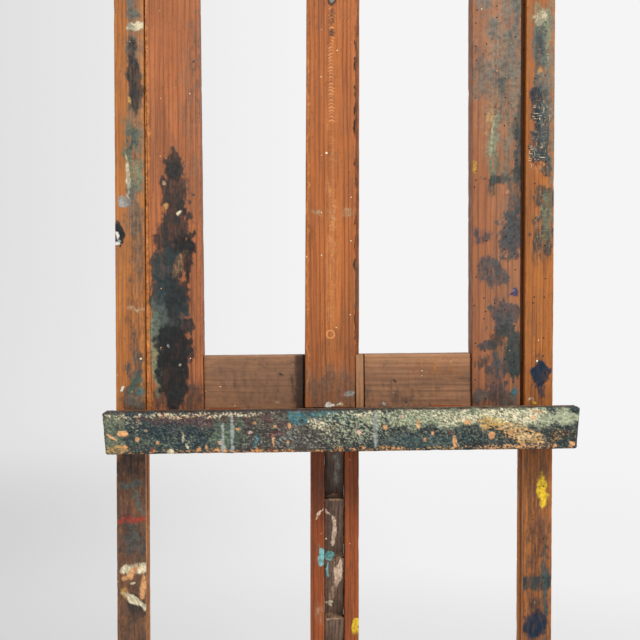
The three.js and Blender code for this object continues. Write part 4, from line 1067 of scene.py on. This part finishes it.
def paint_tray(tray):
    """Lays the tray's coats of paint over its mesh, which leans with the inner frame, with painted shade
    along its top edge and in the crust's hollows.
    """
    data = tray.data
    x, y, z = mesh_places(data)
    relief = np.empty(len(x))
    data.attributes["relief"].data.foreach_get("value", relief)
    flat_x = x * math.cos(ASKEW) + (z - PIVOT_Z) * math.sin(ASKEW)
    flat_z = PIVOT_Z + (z - PIVOT_Z) * math.cos(ASKEW) - x * math.sin(ASKEW)
    coat = Coat(flat_x, y, flat_z + COAT_DROP)
    coat.put(np.ones(len(x)), "deep")
    coat.put(np.clip(coat.edge * 4 + 0.3, 0, 1), "murk")
    coat.put(np.clip(coat.crumb * 3, 0, 1) * 0.8, "charcoal")
    coat.lay(TRAY_BASE)
    coat.scumble(TRAY_SPECKLE, relief)
    coat.lay(TRAY_MARKS, 0.25)
    # A dark line along the tray's top edge: painted shade on the lip.
    coat.put(np.clip((flat_z - TRAY.z[1] + 1.4), 0, 1) * np.clip(0.75 + coat.edge * 2, 0, 1), "lip")
    # Brightens the coat all over, and darkens it in the crust's hollows as painted shade.
    coat.colour *= 1.12 - 0.6 * np.clip((0.26 - relief) / 0.26, 0, 1)[:, None]
    front, behind = (TRAY.y[0] + reach for reach in COAT_REACH)
    shown = np.clip((behind - y) / (behind - front), 0, 1)
    shown = np.maximum(shown, np.clip(coat.edge * 5, 0, 1) * 0.7)
    coat.colour, coat.cover = coat.colour * shown[:, None], shown
    coat.keep(data)


def crusted_paint():
    """The tray: dark wood under layer on layer of paint."""
    g = Graph("tray_crust")
    colour, height = wood(g, GREY_PINE, along="x", heart=(700, 10), ring=6)
    height = g.math("MULTIPLY_ADD", g.attribute("relief"), 1.5, height)
    grit = g.noise(g.place, 900, 4, 0.7)
    smear = g.noise(g.scaled(g.place, (160, 300, 500)), 1, 4, 0.7)
    lit = g.mix(g.step(grit, 0.35, 0.65), rgb(218, 216, 214), rgb(255, 255, 255))
    coat = g.mix(1.0, g.attribute("paint", "Color"), lit, "MULTIPLY")
    crumbs = g.noise(g.scaled(g.place, (560, 560, 760)), 1, 3, 0.6)
    coat = g.mix(g.times(g.step(crumbs, 0.56, 0.66), 0.26), coat, PAINTS["pale"])
    coat = g.mix(g.times(g.step(crumbs, 0.45, 0.36), 0.34), coat, PAINTS["soot"])
    colour = g.mix(g.attribute("cover"), colour, coat)
    height = g.math("MULTIPLY_ADD", grit, 0.5, g.math("MULTIPLY_ADD", smear, 0.8, height))
    rough = g.blend(g.step(smear, 0.4, 0.6), 0.42, 0.7)
    return g.finish(colour, rough, height, 0.35 * MM)


stile_left = timber("stile_left_pine", STILE_PINE, heart=(-310, 10), ring=3.6)
stile_right = timber(
    "stile_right_pine", RIGHT_PINE, FRONT.stile, holes=(11, 0.22, 0.2), spatter=0.06, heart=(330, 20),
    offset=0.3, ring=3.6,
    scratched=[
        (226, 1118, 12, 15, "cream", 0.85), (221, 1072, 11, 22, "cream", 0.7),
        (225, 1100, 12, 48, "dust", 0.5), (229, 998, 11, 44, "sage", 0.7),
        (225, 1196, 9, 46, "charcoal", 0.7)])
board_left = timber("board_left_pine", BOARD_PINE, heart=(-90, 26), ring=4.2)
board_right = timber(
    "board_right_pine", PINKED_PINE, holes=(11, 0.24, 0.1), heart=(110, 30), offset=0.5, ring=4.4,
    contrast=0.85)
mast_pine = timber("mast_pine", MAST_PINE, rubbed_and_shaded=True, heart=(-88, 14), offset=0.2, ring=4.2)
keeper_pine = timber("keeper_pine", KEEPER_PINE, heart=(-60, 14), offset=0.6, ring=3.4, dirt=0.5)
rail_pine = timber("rail_pine", GREY_PINE, along="x", heart=(700, 10), ring=6, dirt=0.45, contrast=0.7)
foot_pine = timber("foot_pine", GREY_PINE, along="y", heart=(150, 20), ring=7)
brace_pine = timber("brace_pine", GREY_PINE, along="z", heart=(150, 300), ring=7)
post_wood = timber("post_wood", RED_WOOD, heart=(60, 20), ring=4.5)
rack_wood = timber("rack_wood", DARK_WOOD, heart=(60, 30), ring=4)
block_wood = timber("block_wood", RED_WOOD, along="x", heart=(1300, 10))
steel = metal("grey_steel", (120, 116, 110), (84, 62, 48))
brass = metal("old_brass", (176, 140, 76), (104, 80, 44))
black_rubber = rubber()

make_stile("left", -1, stile_left, STILE_LEFT_PAINT)
make_stile("right", 1, stile_right, STILE_RIGHT_PAINT)
make_board("left", BOARD_LEFT, -1, board_left, BOARD_LEFT_PAINT_AND_HIGHLIGHT)
make_board("right", BOARD_RIGHT, 1, board_right, BOARD_RIGHT_PAINT)
make_mast(mast_pine, MAST_PAINT_AND_SHADE)
make_crossbar(rail_pine)
make_top_rail(rail_pine)
make_rack(rack_wood)
cheek_steps = [1.2, 5, 4, 5]  # between the points around a cheek, in millimetres, side by side
for hand, side in (("left", -1), ("right", 1)):
    make_foot(hand, side, foot_pine)
    make_brace(hand, side, brace_pine)
    name = f"rack_cheek_{hand}"
    cheek = bar(name, "stand", "z", post_wood, "post_wood", 1.4, cheek_steps, 30 + side, POST_SEEN)
    painted(cheek, FRONT.post, POST_PAINT)
for node in ("bottom_rail", "rear_stretcher"):
    bar(node, "stand", "x", rail_pine, "rail_wood", seed=len(node))
beveled("head_rail", rail_pine, 2.0)
beveled("post_spacer", post_wood)
make_tray(crusted_paint())
for node in ("mast_bridge", "clamp_block", "tray_bearer_left", "tray_bearer_right"):
    beveled(node, block_wood, 2.0)
beveled("keeper_strip", keeper_pine, 0.8)
for name in NODES:
    if name.startswith("foot_pad"):
        beveled(name, black_rubber, 1.5)
    elif name.startswith(("stile_peg", "post_dowel")):
        beveled(name, post_wood, 0.5).modifiers.new("proud", "DISPLACE").strength = PEG_PROUD * MM
    elif name.startswith(("mast_lock", "clamp_lock", "bridge_screw")):
        beveled(name, brass, 0.5)
    elif any(word in name for word in ("bolt", "nut", "screw", "strap", "pawl")):
        beveled(name, steel, 0.4)


# ---------------------------------------------------------------- stage, light and camera
def make_stage():
    g = Graph("backdrop")
    parts = g.split(g.place)
    distance = g.vector("LENGTH", g.joined(parts[0], parts[1], 0.0))
    far = g.step(distance, 1.2, 2.4)
    # Painted light: beyond the near floor the backdrop glows instead of being lit, darker to the left and
    # darker on the floor than on the wall, standing for the light falling from the right.
    wall = g.mix(g.step(parts[0], -3.4, 0.8), rgb(219, 218, 218), rgb(245, 245, 245))
    ground = g.mix(g.step(parts[0], -1.7, 0.6), rgb(204, 203, 203), rgb(241, 241, 241))
    pale = g.mix(g.step(distance, 2.6, 6.0), ground, wall)
    glow = g.add("ShaderNodeEmission", {"Color": pale, "Strength": 1.0}).outputs[0]
    floor = g.add("ShaderNodeBsdfDiffuse", {"Color": rgb(225, 225, 226)}).outputs[0]
    both = g.add("ShaderNodeMixShader", {0: far, 1: floor, 2: glow})
    g.tree.links.new(both.outputs[0], g.tree.nodes["Material Output"].inputs["Surface"])
    profile = [(radius, 0.0) for radius in (1.0, 2.0, 3.5, 5.0)]
    profile += [(5.0 + 1.5 * math.sin(a), 1.5 - 1.5 * math.cos(a)) for a in (0.3, 0.6, 0.9, 1.2, math.pi / 2)]
    profile.append((6.5, 6.0))
    mesh = bmesh.new()
    sides = 96
    rings = []
    for radius, height in profile:
        turn = [2 * math.pi * i / sides for i in range(sides)]
        rings.append([mesh.verts.new((radius * math.cos(a), radius * math.sin(a), height)) for a in turn])
    mesh.faces.new(rings[0])
    for low, high in zip(rings, rings[1:]):
        for i in range(sides):
            j = (i + 1) % sides
            mesh.faces.new((low[i], high[i], high[j], low[j]))
    made = mesh_in_scene("backdrop", mesh, g.material)
    made.visible_shadow = False
    made.visible_glossy = False


def softbox(name, place, target, size, power, tint=(1, 1, 1)):
    data = bpy.data.lights.new(name, "AREA")
    data.shape = "RECTANGLE"
    data.size, data.size_y = size
    data.energy = power
    data.color = tint
    made = in_scene(name, data)
    made.location = place
    made.rotation_euler = (Vector(target) - Vector(place)).to_track_quat("-Z", "Y").to_euler()


def make_light():
    world = bpy.data.worlds.new("studio")
    bpy.context.scene.world = world
    world.use_nodes = True
    sky = world.node_tree.nodes["Background"]
    sky.inputs["Color"].default_value = (1.0, 1.0, 1.0, 1)
    sky.inputs["Strength"].default_value = 0.62
    softbox("key", (1.35, -2.3, 3.3), (0, 0, 0.95), (1.2, 1.2), 120, (1.0, 0.985, 0.96))
    softbox("fill", (-2.4, -2.4, 1.6), (0, 0, 1.0), (2.2, 2.6), 18)
    bpy.context.scene.view_settings.view_transform = "Standard"


def make_camera():
    """At the painter's side, a little left of the middle and turned slightly down and to the right."""
    data = bpy.data.cameras.new("camera")
    data.lens = 58.03
    data.sensor_width = 36
    data.clip_start, data.clip_end = 0.05, 40
    made = in_scene("camera", data)
    made.location = (-0.048, -1.148, 0.924)
    made.rotation_euler = (math.radians(90 - 1.64), 0, math.radians(-1.56))
    bpy.context.scene.camera = made


make_stage()
make_light()
make_camera()
